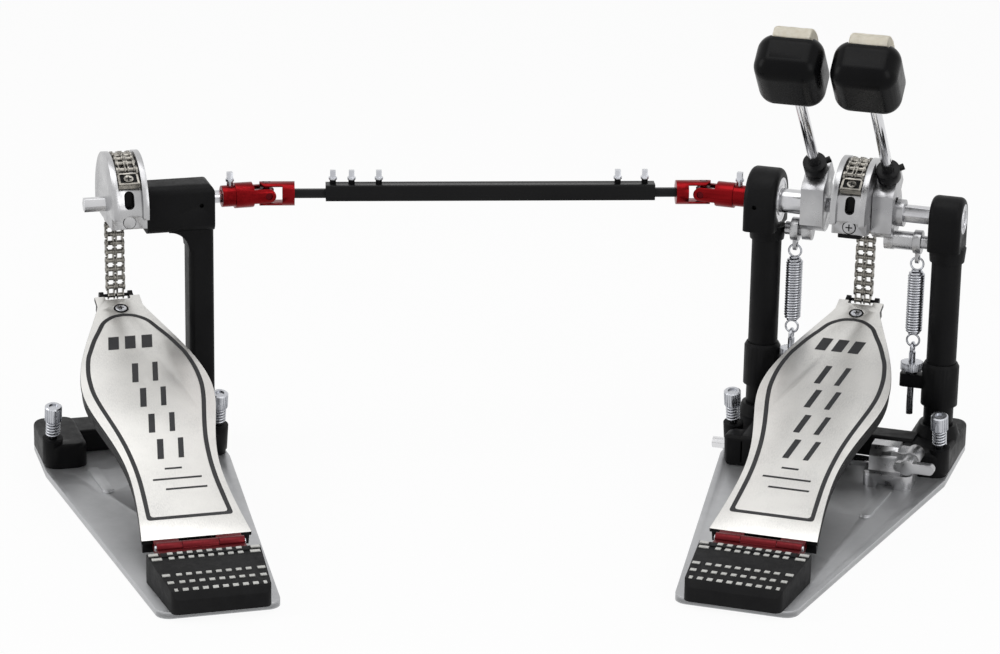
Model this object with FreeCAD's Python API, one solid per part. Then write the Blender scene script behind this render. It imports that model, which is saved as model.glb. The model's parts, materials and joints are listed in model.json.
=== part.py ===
"""Double bass drum pedal: a main pedal with two beaters, a second pedal, and the drive shaft that joins them.

Units are millimetres. The frame is the main pedal's: the origin is on the floor under the middle of its axle,
+X runs along that axle to the player's right, +Y points at the drum and +Z is up.
The second pedal has the same kind of frame, turned and moved by what the drive shaft needs.
"""
import FreeCAD, Part
import math
import os

V = FreeCAD.Vector

# ---------------------------------------------------------------- driving dimensions
RUN_FIT = 0.05            # radial clearance of a shaft that turns in a bore
GAP = 0.3                 # clearance between neighbours that move past each other

# where the two pedals stand
AXLE_HEIGHT = 179.0
MAIN_BEND = 22.2          # degrees between the main axle and the drive shaft
SLAVE_BEND = 12.4         # degrees between the drive shaft and the second pedal's axle
JOINT_TO_JOINT = 305.8    # universal joint centre to universal joint centre
YOKE_REACH = 32.0         # universal joint centre to the outer yoke's base
MAIN_YOKE_GAP = 2.0       # that base to the left housing
SLAVE_YOKE_GAP = 7.3      # that base to the second pedal's tower

# base plate, from the floor up
RUBBER_THICK = 2.0
PLATE_THICK = 2.6
HEEL_EDGE_Y = -314.0
HEEL_HALF = 39.0
MAIN_TOE_Y = 40.0
SLAVE_TOE_Y = 18.0
SHOULDER_Y = -46.0
MAIN_SHOULDER_HALF = 80.0
SLAVE_SHOULDER_HALF = 64.5
MAIN_RIB_X = 47.0         # the ribs' toe ends from the middle
SLAVE_RIB_X = 33.2
MAIN_RIB_Y = (-136.0, -80.0)
SLAVE_RIB_Y = (-98.0, -50.0)
RIB_SPLAY = 4.0           # degrees
RIB_WIDTH = 8.0
RIB_HEIGHT = 1.6

# footboard
HINGE_Y = -252.6
HINGE_Z = 23.3
HINGE_HALF = 28.6
HINGE_MIDDLE_HALF = 12.0  # the middle knuckle
HINGE_BARREL_R = 3.6
HINGE_PIN_R = 1.7
LEAF_THICK = 3.2
BOARD_SLOPE = 16.4        # degrees
BOARD_GAP = 10.3          # hinge axis to the board's heel end, along the board
BOARD_RISE = -1.2         # hinge axis to the board's top, square to the board
BOARD_LENGTH = 279.3
BOARD_SKIN = 3.0
TRAY_DEPTH = 7.5
TRAY_INSET = 1.2
BOARD_HALF_HEEL = 36.0
BOARD_HALF_WAIST = 31.2
BOARD_HALF_WIDEST = 44.4
BOARD_HALF_TOE = 16.0
TOE_SCREW_BACK = 15.9     # toe end to the toe screw
TOE_SCREW_R = 3.4
TOE_PIN_PAST = 4.7        # toe end to the pin that holds the chain, along the board
TOE_PIN_DROP = 2.5        # board top to that pin, square to the board

# chain, a double strand
PITCH = 6.35
STRAND_GAP = 6.4
CHAIN_PIN_R = 1.15
ROLLER_R = 1.65
CHAIN_PLATE_HALF = 2.7
CHAIN_PLATE_THICK = 0.8
ROLLER_LENGTH = 3.4
CHAIN_WRAP_R = 33.0       # pin circle on the cam
WRAP_LINKS = 7
PAIRS = 2                 # pairs of links that lift off the cam over a full stroke

# cam
CAM_HALF = 12.2
CAM_GROOVE_HALF = 8.2
CAM_FLANGE_R = CHAIN_WRAP_R + 3.0
CAM_FLOOR_R = CHAIN_WRAP_R - 3.9
CAM_FLAT_DROP = 11.5      # axle to the flat under the cam

# axles and their housings
MAIN_HEX = 11.0           # across flats
SLAVE_HEX = 9.1
STUB_R = 5.0
LEFT_HUB_DEPTH = 7.0      # how far the left shaft goes into its hub
JOURNAL_R = 6.0
LEFT_SHAFT_R = 8.5
POST_R = 10.4
NECK_R = POST_R + 2.6     # the flare of a housing's neck over its post
POST_X = 64.0
POST_FOOT_Z = 10.0
POST_TOP_DROP = 18.0      # axle to the top of a post
LEFT_HOUSING_X = (-77.1, -54.5)
LEFT_HOUSING_R = 22.5
LEFT_HOUSING_DROP = 19.0  # axle to the bottom of the housing
LEFT_BEARING_R = 16.0
RIGHT_HOUSING_X = (51.8, 74.6)
RIGHT_HOUSING_R = 15.0
RIGHT_HOUSING_DROP = 22.0
RIGHT_BEARING_R = 10.5
BEARING_WIDE = 7.0
GRUB_HOLE_R = 1.6
AXLE_END_X = 74.0

# hubs that carry the beaters
RIGHT_HUB_X = (12.6, 26.8)
LEFT_HUB_X = (-38.0, -22.0)
LEFT_ROD_X = -31.0
HUB_R = 18.5
BEATER_LEAN = 43.0        # degrees back from upright, at rest
BEATER_OFFSET = 17.0      # axle to the beater rod's own axis
BEATER_ROD_R = 3.9
COLLAR_UP = 23.0          # foot of that offset to the middle of the collar, along the rod
COLLAR_R = 8.2
COLLAR_THICK = 9.0
HEAD_UP = 120.0           # collar to the middle of the head, along the rod
ROD_TAIL = 26.0           # rod left below the collar
HEAD_HALF_WIDE = 22.8
HEAD_HALF_LONG = 23.5     # along the rod
HEAD_BACK = 19.0          # rod axis to the hard face on the player's side
HEAD_FRONT = 16.0         # rod axis to the hard rim on the drum's side
HEAD_CORNER = 12.0
FELT_HALF_X = 14.5
FELT_FRONT = 27.0         # rod axis to the felt's striking face
FELT_DEEP = 17.0          # the felt block's own depth

# return springs
CRANK_R = 19.5            # axle to the crank pin
CRANK_PIN_R = 4.6
ROCKER_R = 8.2
ROCKER_WIDE = 5.4
ROCKER_EYE_DROP = 11.5
SPRING_X = 43.4
SPRING_EYE_Z = 84.4       # where the spring's lower loop hangs on the eyebolt
EYE_RING_R = 3.4
EYE_WIRE_R = 1.3
SPRING_R = 5.7
SPRING_WIRE = 1.5
LOOP_R = 4.4
BRACKET_Z = (44.0, 72.0)
BRACKET_R = 12.8
BRACKET_ARM_Z = (55.0, 64.0)
EYEBOLT_R = 2.4
EYEBOLT_LOW_Z = 34.0
NUT_R = 7.8

# drive shaft
YOKE_R = 8.9
YOKE_BORE_START = 16.0    # universal joint centre to the end of the axle in the outer yoke
TRUNNION_R = 2.4
TRUNNION_SLACK = 0.4      # the pivot where each universal joint's loop is opened
CROSS_HALF = 4.3
EAR_R = 5.0
HEX_ROD = 6.0
TUBE_SIDE = 11.5
TUBE_RISE = 1.2           # rods' axis to the middle of the tube
TUBE_MAIN_GAP = 34.6      # universal joint centre to the tube's end
TUBE_LENGTH = 230.1
MAIN_ROD_IN_TUBE = 50.0
SLAVE_ROD_IN_TUBE = 140.0
INNER_YOKE_LONG = 19.5    # universal joint centre to the end of the inner yoke
KEY_SCREW_R = 2.2
KEY_SCREW_TALL = 9.5

# slave tower
TOWER_X = (15.2, 62.4)
TOWER_ARM_X = (44.7, 62.4)
TOWER_ABOVE = 12.6
TOWER_BELOW = 21.0
TOWER_HALF_Y = 13.5
SLAVE_AXLE_LEFT = -26.7

# spurs
SPUR_HEAD_Y = -44.7
SPUR_TILT = 14.0          # degrees, its point toward the drum
SPUR_R = 2.9
SPUR_HEAD_R = 5.6
SPUR_HEAD_TALL = 7.0
SPUR_TOP_Z = 50.0
SPUR_TIP_Z = 1.0

# hoop clamp
CLAMP_Y = -60.0
CLAMP_Z = 17.0
CLAMP_ROD_R = 4.0
CLAMP_BLOCK_X = (30.0, 58.0)
WING_LONG = 19.0
WING_SHORT = 9.0
JAW_HALF = 11.0
JAW_TIP_Y = 37.0
HOOP_GAP = 13.0           # room for a drum hoop between the plate and the jaw

# ---------------------------------------------------------------- derived sizes
FLOOR_OF_PARTS = RUBBER_THICK + PLATE_THICK
SIN_SLOPE = math.sin(math.radians(BOARD_SLOPE))
COS_SLOPE = math.cos(math.radians(BOARD_SLOPE))
PAIR_TURN = 2 * math.asin(PITCH / CHAIN_WRAP_R)          # one pair of links as a chord of the cam, radians
LINK_TURN = 2 * math.asin(PITCH / 2 / CHAIN_WRAP_R)      # one link
STROKE = PAIRS * PAIR_TURN
LEAN = math.radians(BEATER_LEAN)
ROD_DIRECTION = V(0, -math.sin(LEAN), math.cos(LEAN))
ROD_ACROSS = V(0, math.cos(LEAN), math.sin(LEAN))


def on_board(x, along, up):
    """A point of the footboard, from its heel end, along it and square to it, in the pedal's frame."""
    heel_y = HINGE_Y + BOARD_GAP * COS_SLOPE - BOARD_RISE * SIN_SLOPE
    heel_z = HINGE_Z + BOARD_GAP * SIN_SLOPE + BOARD_RISE * COS_SLOPE
    return V(x, heel_y + along * COS_SLOPE - up * SIN_SLOPE, heel_z + along * SIN_SLOPE + up * COS_SLOPE)


TOE_PIN = on_board(0, BOARD_LENGTH + TOE_PIN_PAST, -TOE_PIN_DROP)
TANGENT = V(0, CHAIN_WRAP_R, AXLE_HEIGHT)
RUN_LENGTH = (TANGENT - TOE_PIN).Length
RUN_LINKS = 2 * round(RUN_LENGTH / PITCH / 2)
RIGHT_ROD_X = CAM_HALF + GAP + COLLAR_R
MAIN_JOINT = V(LEFT_HOUSING_X[0] - MAIN_YOKE_GAP - YOKE_REACH, 0, AXLE_HEIGHT)


def turned(degrees, x, y, z):
    """A placement turned about +Z, with its origin moved to x, y, z."""
    return FreeCAD.Placement(V(x, y, z), FreeCAD.Rotation(V(0, 0, 1), degrees))


MAIN_PLACE = turned(0, 0, 0, 0)
SHAFT_PLACE = turned(MAIN_BEND, MAIN_JOINT.x, MAIN_JOINT.y, MAIN_JOINT.z)
SLAVE_JOINT = SHAFT_PLACE.multVec(V(-JOINT_TO_JOINT, 0, 0))
SLAVE_TURN = MAIN_BEND + SLAVE_BEND
SLAVE_JOINT_X = TOWER_X[1] + SLAVE_YOKE_GAP + YOKE_REACH
SLAVE_ORIGIN = SLAVE_JOINT - turned(SLAVE_TURN, 0, 0, 0).multVec(V(SLAVE_JOINT_X, 0, AXLE_HEIGHT))
SLAVE_PLACE = turned(SLAVE_TURN, SLAVE_ORIGIN.x, SLAVE_ORIGIN.y, SLAVE_ORIGIN.z)


# ---------------------------------------------------------------- shape helpers
def block(x, y, z):
    """A box from three (low, high) pairs."""
    return Part.makeBox(x[1] - x[0], y[1] - y[0], z[1] - z[0], V(x[0], y[0], z[0]))


def bar_x(radius, x, y=0.0, z=0.0):
    return Part.makeCylinder(radius, x[1] - x[0], V(x[0], y, z), V(1, 0, 0))


def bar_y(radius, y, x=0.0, z=0.0):
    return Part.makeCylinder(radius, y[1] - y[0], V(x, y[0], z), V(0, 1, 0))


def bar_z(radius, z, x=0.0, y=0.0):
    return Part.makeCylinder(radius, z[1] - z[0], V(x, y, z[0]), V(0, 0, 1))


def bar_between(radius, start, end):
    return Part.makeCylinder(radius, (end - start).Length, start, end - start)


def hex_x(flats, x, y=0.0, z=0.0):
    """A hexagonal bar along X with a flat on top."""
    corner = flats / 2 / math.cos(math.pi / 6)
    angles = [math.radians(60 * i) for i in range(7)]
    wire = Part.makePolygon([V(x[0], y + corner * math.cos(a), z + corner * math.sin(a)) for a in angles])
    return Part.Face(wire).extrude(V(x[1] - x[0], 0, 0))


def prism_x(points, x):
    """A prism along X over (y, z) points."""
    wire = Part.makePolygon([V(x[0], y, z) for y, z in points + points[:1]])
    return Part.Face(wire).extrude(V(x[1] - x[0], 0, 0))


def prism_z(points, z):
    """A prism along Z over (x, y) points."""
    wire = Part.makePolygon([V(px, py, z[0]) for px, py in points + points[:1]])
    return Part.Face(wire).extrude(V(0, 0, z[1] - z[0]))


def rounded(shape, radius, wanted):
    """The shape with a fillet on each edge that wanted(edge) picks."""
    edges = [e for e in shape.Edges if wanted(e)]
    return shape.makeFillet(radius, edges) if edges else shape


def runs_along(edge, direction):
    """True for a straight edge in that direction."""
    if len(edge.Vertexes) != 2 or not isinstance(edge.Curve, Part.Line):
        return False
    span = (edge.Vertexes[1].Point - edge.Vertexes[0].Point).normalize()
    return abs(span.dot(direction)) > 0.999


def along_x(edge):
    return runs_along(edge, V(1, 0, 0))


def along_z(edge):
    return runs_along(edge, V(0, 0, 1))


def ring(major, minor, centre, normal):
    return Part.makeTorus(major, minor, centre, normal)


def lift(z):
    """Axle-centred coordinates, as (y, z) pairs, raised to the axle."""
    return [(y, AXLE_HEIGHT + up) for y, up in z]


def as_board(shape):
    """A shape drawn flat, x across, y along and z square to the board, put in its place."""
    origin = on_board(0, 0, 0)
    shape.Placement = FreeCAD.Placement(origin, FreeCAD.Rotation(V(1, 0, 0), BOARD_SLOPE))
    return shape


# ---------------------------------------------------------------- bases
def base_outline(shoulder, toe_y):
    """The base plate's corners, anticlockwise from the left of the heel."""
    return [
        (-HEEL_HALF, HEEL_EDGE_Y), (HEEL_HALF, HEEL_EDGE_Y), (shoulder, SHOULDER_Y),
        (shoulder - 1.5, toe_y), (-shoulder + 1.5, toe_y), (-shoulder, SHOULDER_Y),
    ]


def base_plate(shoulder, toe_y, rib_x, rib_y):
    """A stiff plate with two raised ribs, on a rubber sheet."""
    plate = rounded(prism_z(base_outline(shoulder, toe_y), (RUBBER_THICK, FLOOR_OF_PARTS)), 9.0, along_z)
    sheet = rounded(prism_z(base_outline(shoulder, toe_y), (0, RUBBER_THICK)), 9.0, along_z)
    for side in (-1, 1):
        x = side * rib_x
        rib_z = (FLOOR_OF_PARTS - 0.5, FLOOR_OF_PARTS + RIB_HEIGHT)
        rib = block((x - RIB_WIDTH / 2, x + RIB_WIDTH / 2), rib_y, rib_z)
        rib = rounded(rib, RIB_WIDTH / 2 - 0.1, along_z)
        rib.rotate(V(x, rib_y[1], 0), V(0, 0, 1), -side * RIB_SPLAY)
        plate = plate.fuse(rib)
        hole = along_spur(SPUR_R + 0.6, -4, FLOOR_OF_PARTS + 3, side * spur_x(shoulder))
        plate = plate.cut(hole)
        sheet = sheet.cut(hole)
    return [plate, sheet]


def spur_x(shoulder):
    """The spurs' distance from the pedal's middle, for a plate this wide at its shoulder."""
    return shoulder - 6.5


def along_spur(radius, low, high, x, low_radius=None):
    """A cylinder, or a cone, on a spur's axis between two heights that are measured at that axis."""
    tilt = math.radians(SPUR_TILT)
    top = V(x, SPUR_HEAD_Y, SPUR_TOP_Z)
    direction = V(0, -math.sin(tilt), math.cos(tilt))
    start = top - direction * ((SPUR_TOP_Z - low) / math.cos(tilt))
    length = (high - low) / math.cos(tilt)
    if low_radius is None:
        return Part.makeCylinder(radius, length, start, direction)
    return Part.makeCone(low_radius, radius, length, start, direction)


def foot(shoulder, inner, toe_y):
    """The right end of a toe casting: a rounded pad that the spur passes through."""
    top_z = FLOOR_OF_PARTS + 17.0
    pad = block((inner, shoulder - 1.0), (SHOULDER_Y + 1.0, toe_y - 1.5), (FLOOR_OF_PARTS, top_z))
    pad = rounded(pad, 9.0, along_z)
    pad = rounded(pad, 3.0, lambda e: all(abs(v.Z - top_z) < 1e-6 for v in e.Vertexes))
    boss = along_spur(7.0, FLOOR_OF_PARTS + 3.0, top_z + 4.0, spur_x(shoulder))
    return pad.fuse(boss).removeSplitter()


def mirrored(shape):
    return shape.mirror(V(0, 0, 0), V(1, 0, 0))


def main_base_casting():
    """The main pedal's toe casting, with the block that carries the clamp rod's left end."""
    pad = foot(MAIN_SHOULDER_HALF, POST_X - 19.0, MAIN_TOE_Y)
    socket = Part.makeCone(16.8, 13.0, 11.0, V(POST_X, 0, FLOOR_OF_PARTS + 14.0), V(0, 0, 1))
    socket = socket.common(block((0, MAIN_SHOULDER_HALF - 1.0), (-100, 100), (0, 100)))
    pad = pad.fuse(socket).removeSplitter()
    pad = pad.cut(bar_z(POST_R, (POST_FOOT_Z, 100), POST_X, 0))
    beam = block((-POST_X + 14, POST_X - 14), (-24.0, -6.0), (FLOOR_OF_PARTS, FLOOR_OF_PARTS + 10.0))
    bridge = block((JAW_HALF + 7.0, POST_X - 12), (-26.0, -5.0), (FLOOR_OF_PARTS, FLOOR_OF_PARTS + 19.0))
    bridge = rounded(bridge, 3.0, along_x)
    carrier = block((-60.0, -46.0), (CLAMP_Y - 9, -20.0), (FLOOR_OF_PARTS, CLAMP_Z + 9.5))
    carrier = rounded(carrier, 3.0, along_x)
    casting = pad.fuse([mirrored(pad), beam, bridge, mirrored(bridge), carrier]).removeSplitter()
    casting = casting.cut(bar_x(CLAMP_ROD_R, (-100, 0), CLAMP_Y, CLAMP_Z))
    for side in (-1, 1):
        casting = casting.cut(along_spur(SPUR_R + RUN_FIT, -5, 60, side * spur_x(MAIN_SHOULDER_HALF)))
    return [casting]


def main_posts():
    return [bar_z(POST_R, (POST_FOOT_Z, AXLE_HEIGHT - POST_TOP_DROP), side * POST_X, 0) for side in (-1, 1)]


def housing(x, radius, drop):
    """A block with an arched top, over a post, bored for the axle's bearings."""
    low = AXLE_HEIGHT - drop
    body = block(x, (-radius, radius), (low, AXLE_HEIGHT)).fuse(bar_x(radius, x, 0, AXLE_HEIGHT))
    body = body.removeSplitter()
    body = rounded(body, 4.0, along_z)
    post_x = math.copysign(POST_X, x[0] + x[1])
    body = body.fuse(Part.makeCone(NECK_R - 1.0, NECK_R, 10.0, V(post_x, 0, low - 9.0), V(0, 0, 1)))
    return body.removeSplitter().cut(bar_z(POST_R, (0, AXLE_HEIGHT - POST_TOP_DROP), post_x, 0))


def main_left_housing():
    body = housing(LEFT_HOUSING_X, LEFT_HOUSING_R, LEFT_HOUSING_DROP)
    grub_y = (-LEFT_HOUSING_R - 1, -LEFT_HOUSING_R + 4.5)
    body = body.cut(bar_y(GRUB_HOLE_R, grub_y, LEFT_HOUSING_X[0] + 8.5, AXLE_HEIGHT - 1))
    body = body.cut(bar_x(LEFT_SHAFT_R + 1.0, (-200, 0), 0, AXLE_HEIGHT))
    for start in (LEFT_HOUSING_X[0], LEFT_HOUSING_X[1] - BEARING_WIDE):
        body = body.cut(bar_x(LEFT_BEARING_R, (start, start + BEARING_WIDE), 0, AXLE_HEIGHT))
    return [body]


def main_right_housing():
    body = housing(RIGHT_HOUSING_X, RIGHT_HOUSING_R, RIGHT_HOUSING_DROP)
    body = body.cut(bar_x(JOURNAL_R + 1.0, (0, 200), 0, AXLE_HEIGHT))
    for start in (RIGHT_HOUSING_X[0], RIGHT_HOUSING_X[1] - BEARING_WIDE):
        body = body.cut(bar_x(RIGHT_BEARING_R, (start, start + BEARING_WIDE), 0, AXLE_HEIGHT))
    return [body]


def bearing(x_start, outer, bore):
    """A shielded ball bearing as one ring, with a groove that parts its two races."""
    solid = bar_x(outer, (x_start, x_start + BEARING_WIDE), 0, AXLE_HEIGHT)
    solid = solid.cut(bar_x(bore + RUN_FIT, (x_start - 1, x_start + BEARING_WIDE + 1), 0, AXLE_HEIGHT))
    middle = (outer + bore) / 2
    for start in (x_start - 1, x_start + BEARING_WIDE - 0.6):
        groove = bar_x(middle + 1.6, (start, start + 1.6), 0, AXLE_HEIGHT)
        groove = groove.cut(bar_x(middle - 1.6, (start - 1, start + 3), 0, AXLE_HEIGHT))
        solid = solid.cut(groove)
    return solid


def main_bearings():
    left = [LEFT_HOUSING_X[0], LEFT_HOUSING_X[1] - BEARING_WIDE]
    right = [RIGHT_HOUSING_X[0], RIGHT_HOUSING_X[1] - BEARING_WIDE]
    return [bearing(x, LEFT_BEARING_R, LEFT_SHAFT_R) for x in left] + [
        bearing(x, RIGHT_BEARING_R, JOURNAL_R) for x in right]


def spring_brackets():
    """A sleeve on each post with an arm, and the eyebolt that hangs in the arm."""
    solids = []
    for side in (-1, 1):
        sleeve = bar_z(BRACKET_R, BRACKET_Z, side * POST_X, 0)
        shoulder = V(side * POST_X, 0, BRACKET_Z[1])
        sleeve = sleeve.fuse(Part.makeCone(BRACKET_R, POST_R + 1.0, 2.5, shoulder, V(0, 0, 1)))
        arm = block((SPRING_X - 7.5, POST_X), (-5.5, 5.5), BRACKET_ARM_Z)
        arm = rounded(arm, 3.0, along_z)
        if side < 0:
            arm = arm.mirror(V(0, 0, 0), V(1, 0, 0))
        sleeve = sleeve.fuse(arm).removeSplitter()
        sleeve = sleeve.cut(bar_z(POST_R, (0, 200), side * POST_X, 0))
        sleeve = sleeve.cut(bar_z(EYEBOLT_R, (0, 200), side * SPRING_X, 0))
        centre_z = SPRING_EYE_Z - EYE_RING_R + EYE_WIRE_R + 0.03
        bolt = bar_z(EYEBOLT_R, (EYEBOLT_LOW_Z, centre_z - EYE_RING_R + 0.6), side * SPRING_X, 0)
        bolt = bolt.fuse(ring(EYE_RING_R, EYE_WIRE_R, V(side * SPRING_X, 0, centre_z), V(1, 0, 0)))
        solids += [sleeve, bolt.removeSplitter()]
    return solids


def tension_nut(side):
    """A knurled disc with a neck, on the eyebolt above the arm."""
    z = BRACKET_ARM_Z[1]
    x = side * SPRING_X
    nut = bar_z(NUT_R, (z + 2.6, z + 8.2), x, 0).fuse(bar_z(4.2, (z + 0.05, z + 3), x, 0))
    for i in range(24):
        angle = 2 * math.pi * i / 24
        nut = nut.cut(bar_z(0.55, (z + 2, z + 9), x + NUT_R * math.cos(angle), NUT_R * math.sin(angle)))
    return [nut.cut(bar_z(EYEBOLT_R + RUN_FIT, (0, 200), x, 0))]


# ---------------------------------------------------------------- heel
def heel_block():
    """The wedge that the player's heel rests on."""
    back_y = HINGE_Y - 9.5
    front_y = HEEL_EDGE_Y - 2.0
    top = [(back_y, FLOOR_OF_PARTS), (back_y, HINGE_Z + 0.3), (front_y, HINGE_Z - 4.3),
           (front_y - 4.0, HINGE_Z - 9.0), (front_y - 4.0, FLOOR_OF_PARTS)]
    half = 37.0
    wedge = prism_x(top, (-half, half))
    for side in (-1, 1):
        taper = [(side * half, back_y), (side * (half + 30), back_y), (side * (half + 30), front_y - 20),
                 (side * (half - 7.0), front_y - 20)]
        wedge = wedge.cut(prism_z(taper, (0, 60)))
    wedge = rounded(wedge, 5.0, lambda e: e.BoundBox.YMax < front_y - 3.9 and e.BoundBox.ZLength > 5)
    wedge = wedge.cut(heel_pocket())
    return [wedge]


def heel_pocket():
    """Room at the back of the wedge for the hinge's fixed leaf."""
    back_y = HINGE_Y - 9.5
    return block((-HINGE_HALF, HINGE_HALF), (back_y - 6.0, back_y + 5), (HINGE_Z - 7.0, HINGE_Z + 10))


def heel_hinge():
    """The hinge's fixed leaf with the middle knuckle, and the pin."""
    middle = HINGE_MIDDLE_HALF - GAP / 2
    back_y = HINGE_Y - 9.5
    leaf_y = (back_y - 6.0, HINGE_Y - HINGE_BARREL_R - GAP - 0.4)
    leaf = block((-HINGE_HALF, HINGE_HALF), leaf_y, (HINGE_Z - 7.0, HINGE_Z + 0.3))
    tongue = block((-middle, middle), (back_y - 1.0, HINGE_Y), (HINGE_Z - HINGE_BARREL_R, HINGE_Z + 0.3))
    barrel = bar_x(HINGE_BARREL_R, (-middle, middle), HINGE_Y, HINGE_Z)
    leaf = leaf.fuse([tongue, barrel]).removeSplitter()
    leaf = leaf.cut(bar_x(HINGE_PIN_R, (-100, 100), HINGE_Y, HINGE_Z))
    pin = bar_x(HINGE_PIN_R, (-HINGE_HALF - 1.0, HINGE_HALF + 1.0), HINGE_Y, HINGE_Z)
    return [leaf, pin]


# ---------------------------------------------------------------- footboard
def board_side(inset):
    """The footboard's right edge as an open wire from heel to toe, x across and y along."""
    rise = [
        (BOARD_HALF_HEEL, 0.0), (BOARD_HALF_WAIST + 0.3, 0.16), (BOARD_HALF_WAIST, 0.287),
        (BOARD_HALF_WAIST + 5.8, 0.423), (BOARD_HALF_WIDEST, 0.58), (BOARD_HALF_WIDEST - 3.9, 0.698),
        (BOARD_HALF_TOE + 12.0, 0.838), (BOARD_HALF_TOE + 1.6, 0.938),
    ]
    points = [V(half - inset, max(share * BOARD_LENGTH, inset), 0) for half, share in rise]
    curve = Part.BSplineCurve()
    curve.interpolate(points)
    toe = V(BOARD_HALF_TOE - inset, BOARD_LENGTH * 0.957, 0)
    end = V(BOARD_HALF_TOE - inset, BOARD_LENGTH - inset, 0)
    return [curve.toShape(), Part.makeLine(points[-1], toe), Part.makeLine(toe, end)]


def board_slab(inset, low, high):
    """A slab of the footboard's outline, drawn flat."""
    right = board_side(inset)
    left = [edge.mirror(V(0, 0, 0), V(1, 0, 0)) for edge in right]
    heel_half = BOARD_HALF_HEEL - inset
    toe_half = BOARD_HALF_TOE - inset
    heel = Part.makeLine(V(-heel_half, inset, 0), V(heel_half, inset, 0))
    toe = Part.makeLine(V(toe_half, BOARD_LENGTH - inset, 0), V(-toe_half, BOARD_LENGTH - inset, 0))
    wire = Part.Wire(Part.__sortEdges__([heel] + right + [toe] + left))
    slab = Part.Face(wire).extrude(V(0, 0, high - low))
    slab.translate(V(0, 0, low))
    return slab


def chain_notch():
    """Room for the chain at the board's toe, drawn flat."""
    half = STRAND_GAP + 2.2
    return block((-half, half), (BOARD_LENGTH + TOE_PIN_PAST - 8.6, BOARD_LENGTH + 20), (-40, 20))


def footboard_plate():
    """The bright top plate with its toe screw."""
    plate = board_slab(0.0, -BOARD_SKIN, 0.0).cut(chain_notch())
    screw_y = BOARD_LENGTH - TOE_SCREW_BACK
    recess = Part.makeCylinder(TOE_SCREW_R + 1.3, 10, V(0, screw_y, -1.2))
    hole = Part.makeCylinder(TOE_SCREW_R, 30, V(0, screw_y, -15))
    plate = plate.cut(recess).cut(hole)
    screw_foot = V(0, screw_y, -TRAY_DEPTH - BOARD_SKIN)
    screw = Part.makeCylinder(TOE_SCREW_R, TRAY_DEPTH + BOARD_SKIN - 1.0, screw_foot)
    return [as_board(plate), as_board(screw)]


def footboard_tray():
    """The black tray under the plate, with the chain's pin at its toe, and the hinge's moving leaf."""
    low = -BOARD_SKIN - TRAY_DEPTH
    tray = board_slab(TRAY_INSET, low, -BOARD_SKIN)
    hollow = board_slab(TRAY_INSET + 4.5, low - 1, -BOARD_SKIN - 2.0)
    keep = block((-60, 60), (BOARD_LENGTH - 34, BOARD_LENGTH + 5), (-40, 0))
    heel_keep = block((-60, 60), (-5, 22), (-40, 0))
    tray = tray.cut(hollow.cut(keep).cut(heel_keep))
    lug_x = STRAND_GAP + 2.3
    pin_y = BOARD_LENGTH + TOE_PIN_PAST
    for side in (-1, 1):
        inner, outer = sorted((side * lug_x, side * (lug_x + 3.0)))
        lug = block((inner, outer), (BOARD_LENGTH - 8, pin_y), (-TOE_PIN_DROP - 3.0, -TOE_PIN_DROP + 2.4))
        tip = bar_x(2.7, (inner, outer), pin_y, -TOE_PIN_DROP)
        under = block((inner, outer), (BOARD_LENGTH - 8, pin_y), (-BOARD_SKIN - 4, -BOARD_SKIN))
        lug = lug.fuse([tip, under]).cut(block((-60, 60), (0, BOARD_LENGTH + 0.2), (-BOARD_SKIN, 5)))
        tray = tray.fuse(lug)
    tray = tray.cut(chain_notch().cut(block((-60, 60), (0, 400), (-BOARD_SKIN - 20, -BOARD_SKIN - 5.5))))
    tray = tray.fuse(bar_x(CHAIN_PIN_R, (-lug_x - 1, lug_x + 1), pin_y, -TOE_PIN_DROP)).removeSplitter()
    tray = tray.cut(Part.makeCylinder(TOE_SCREW_R, 30, V(0, BOARD_LENGTH - TOE_SCREW_BACK, -15)))
    tray = tray.cut(board_leaf_blank())
    return [as_board(tray), board_leaf()]


def board_leaf_blank():
    """The hinge's moving leaf where it lies in the tray's heel, drawn flat."""
    return block((-HINGE_HALF, HINGE_HALF), (-20, 14), (-BOARD_SKIN - LEAF_THICK, -BOARD_SKIN))


def board_leaf():
    """The hinge's moving leaf, with the two outer knuckles."""
    plate = board_leaf_blank().common(block((-60, 60), (-BOARD_GAP + HINGE_BARREL_R + GAP, 14), (-20, 20)))
    plate = as_board(plate)
    solids = [plate]
    for side in (-1, 1):
        low, high = sorted((side * (HINGE_MIDDLE_HALF + GAP / 2), side * HINGE_HALF))
        solids.append(bar_x(HINGE_BARREL_R, (low, high), HINGE_Y, HINGE_Z))
        web = block((low, high), (-BOARD_GAP, -GAP), (-BOARD_SKIN - LEAF_THICK, 0.0))
        solids.append(as_board(web))
    leaf = solids[0].fuse(solids[1:]).removeSplitter()
    return leaf.cut(bar_x(HINGE_PIN_R + RUN_FIT, (-100, 100), HINGE_Y, HINGE_Z))


# ---------------------------------------------------------------- chain
def chain_plate(x, start, end):
    """One side plate, from pin to pin in the plane across x."""
    axis = V(1, 0, 0)
    thick = x[1] - x[0]
    run = end - start
    side = run.cross(axis).normalize() * (CHAIN_PLATE_HALF * 0.8)
    corners = [start + side, end + side, end - side, start - side]
    corners = [V(x[0], c.y, c.z) for c in corners]
    bar = Part.Face(Part.makePolygon(corners + corners[:1])).extrude(V(thick, 0, 0))
    ends = [Part.makeCylinder(CHAIN_PLATE_HALF, thick, V(x[0], p.y, p.z), axis) for p in (start, end)]
    return bar.fuse(ends).removeSplitter()


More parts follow.
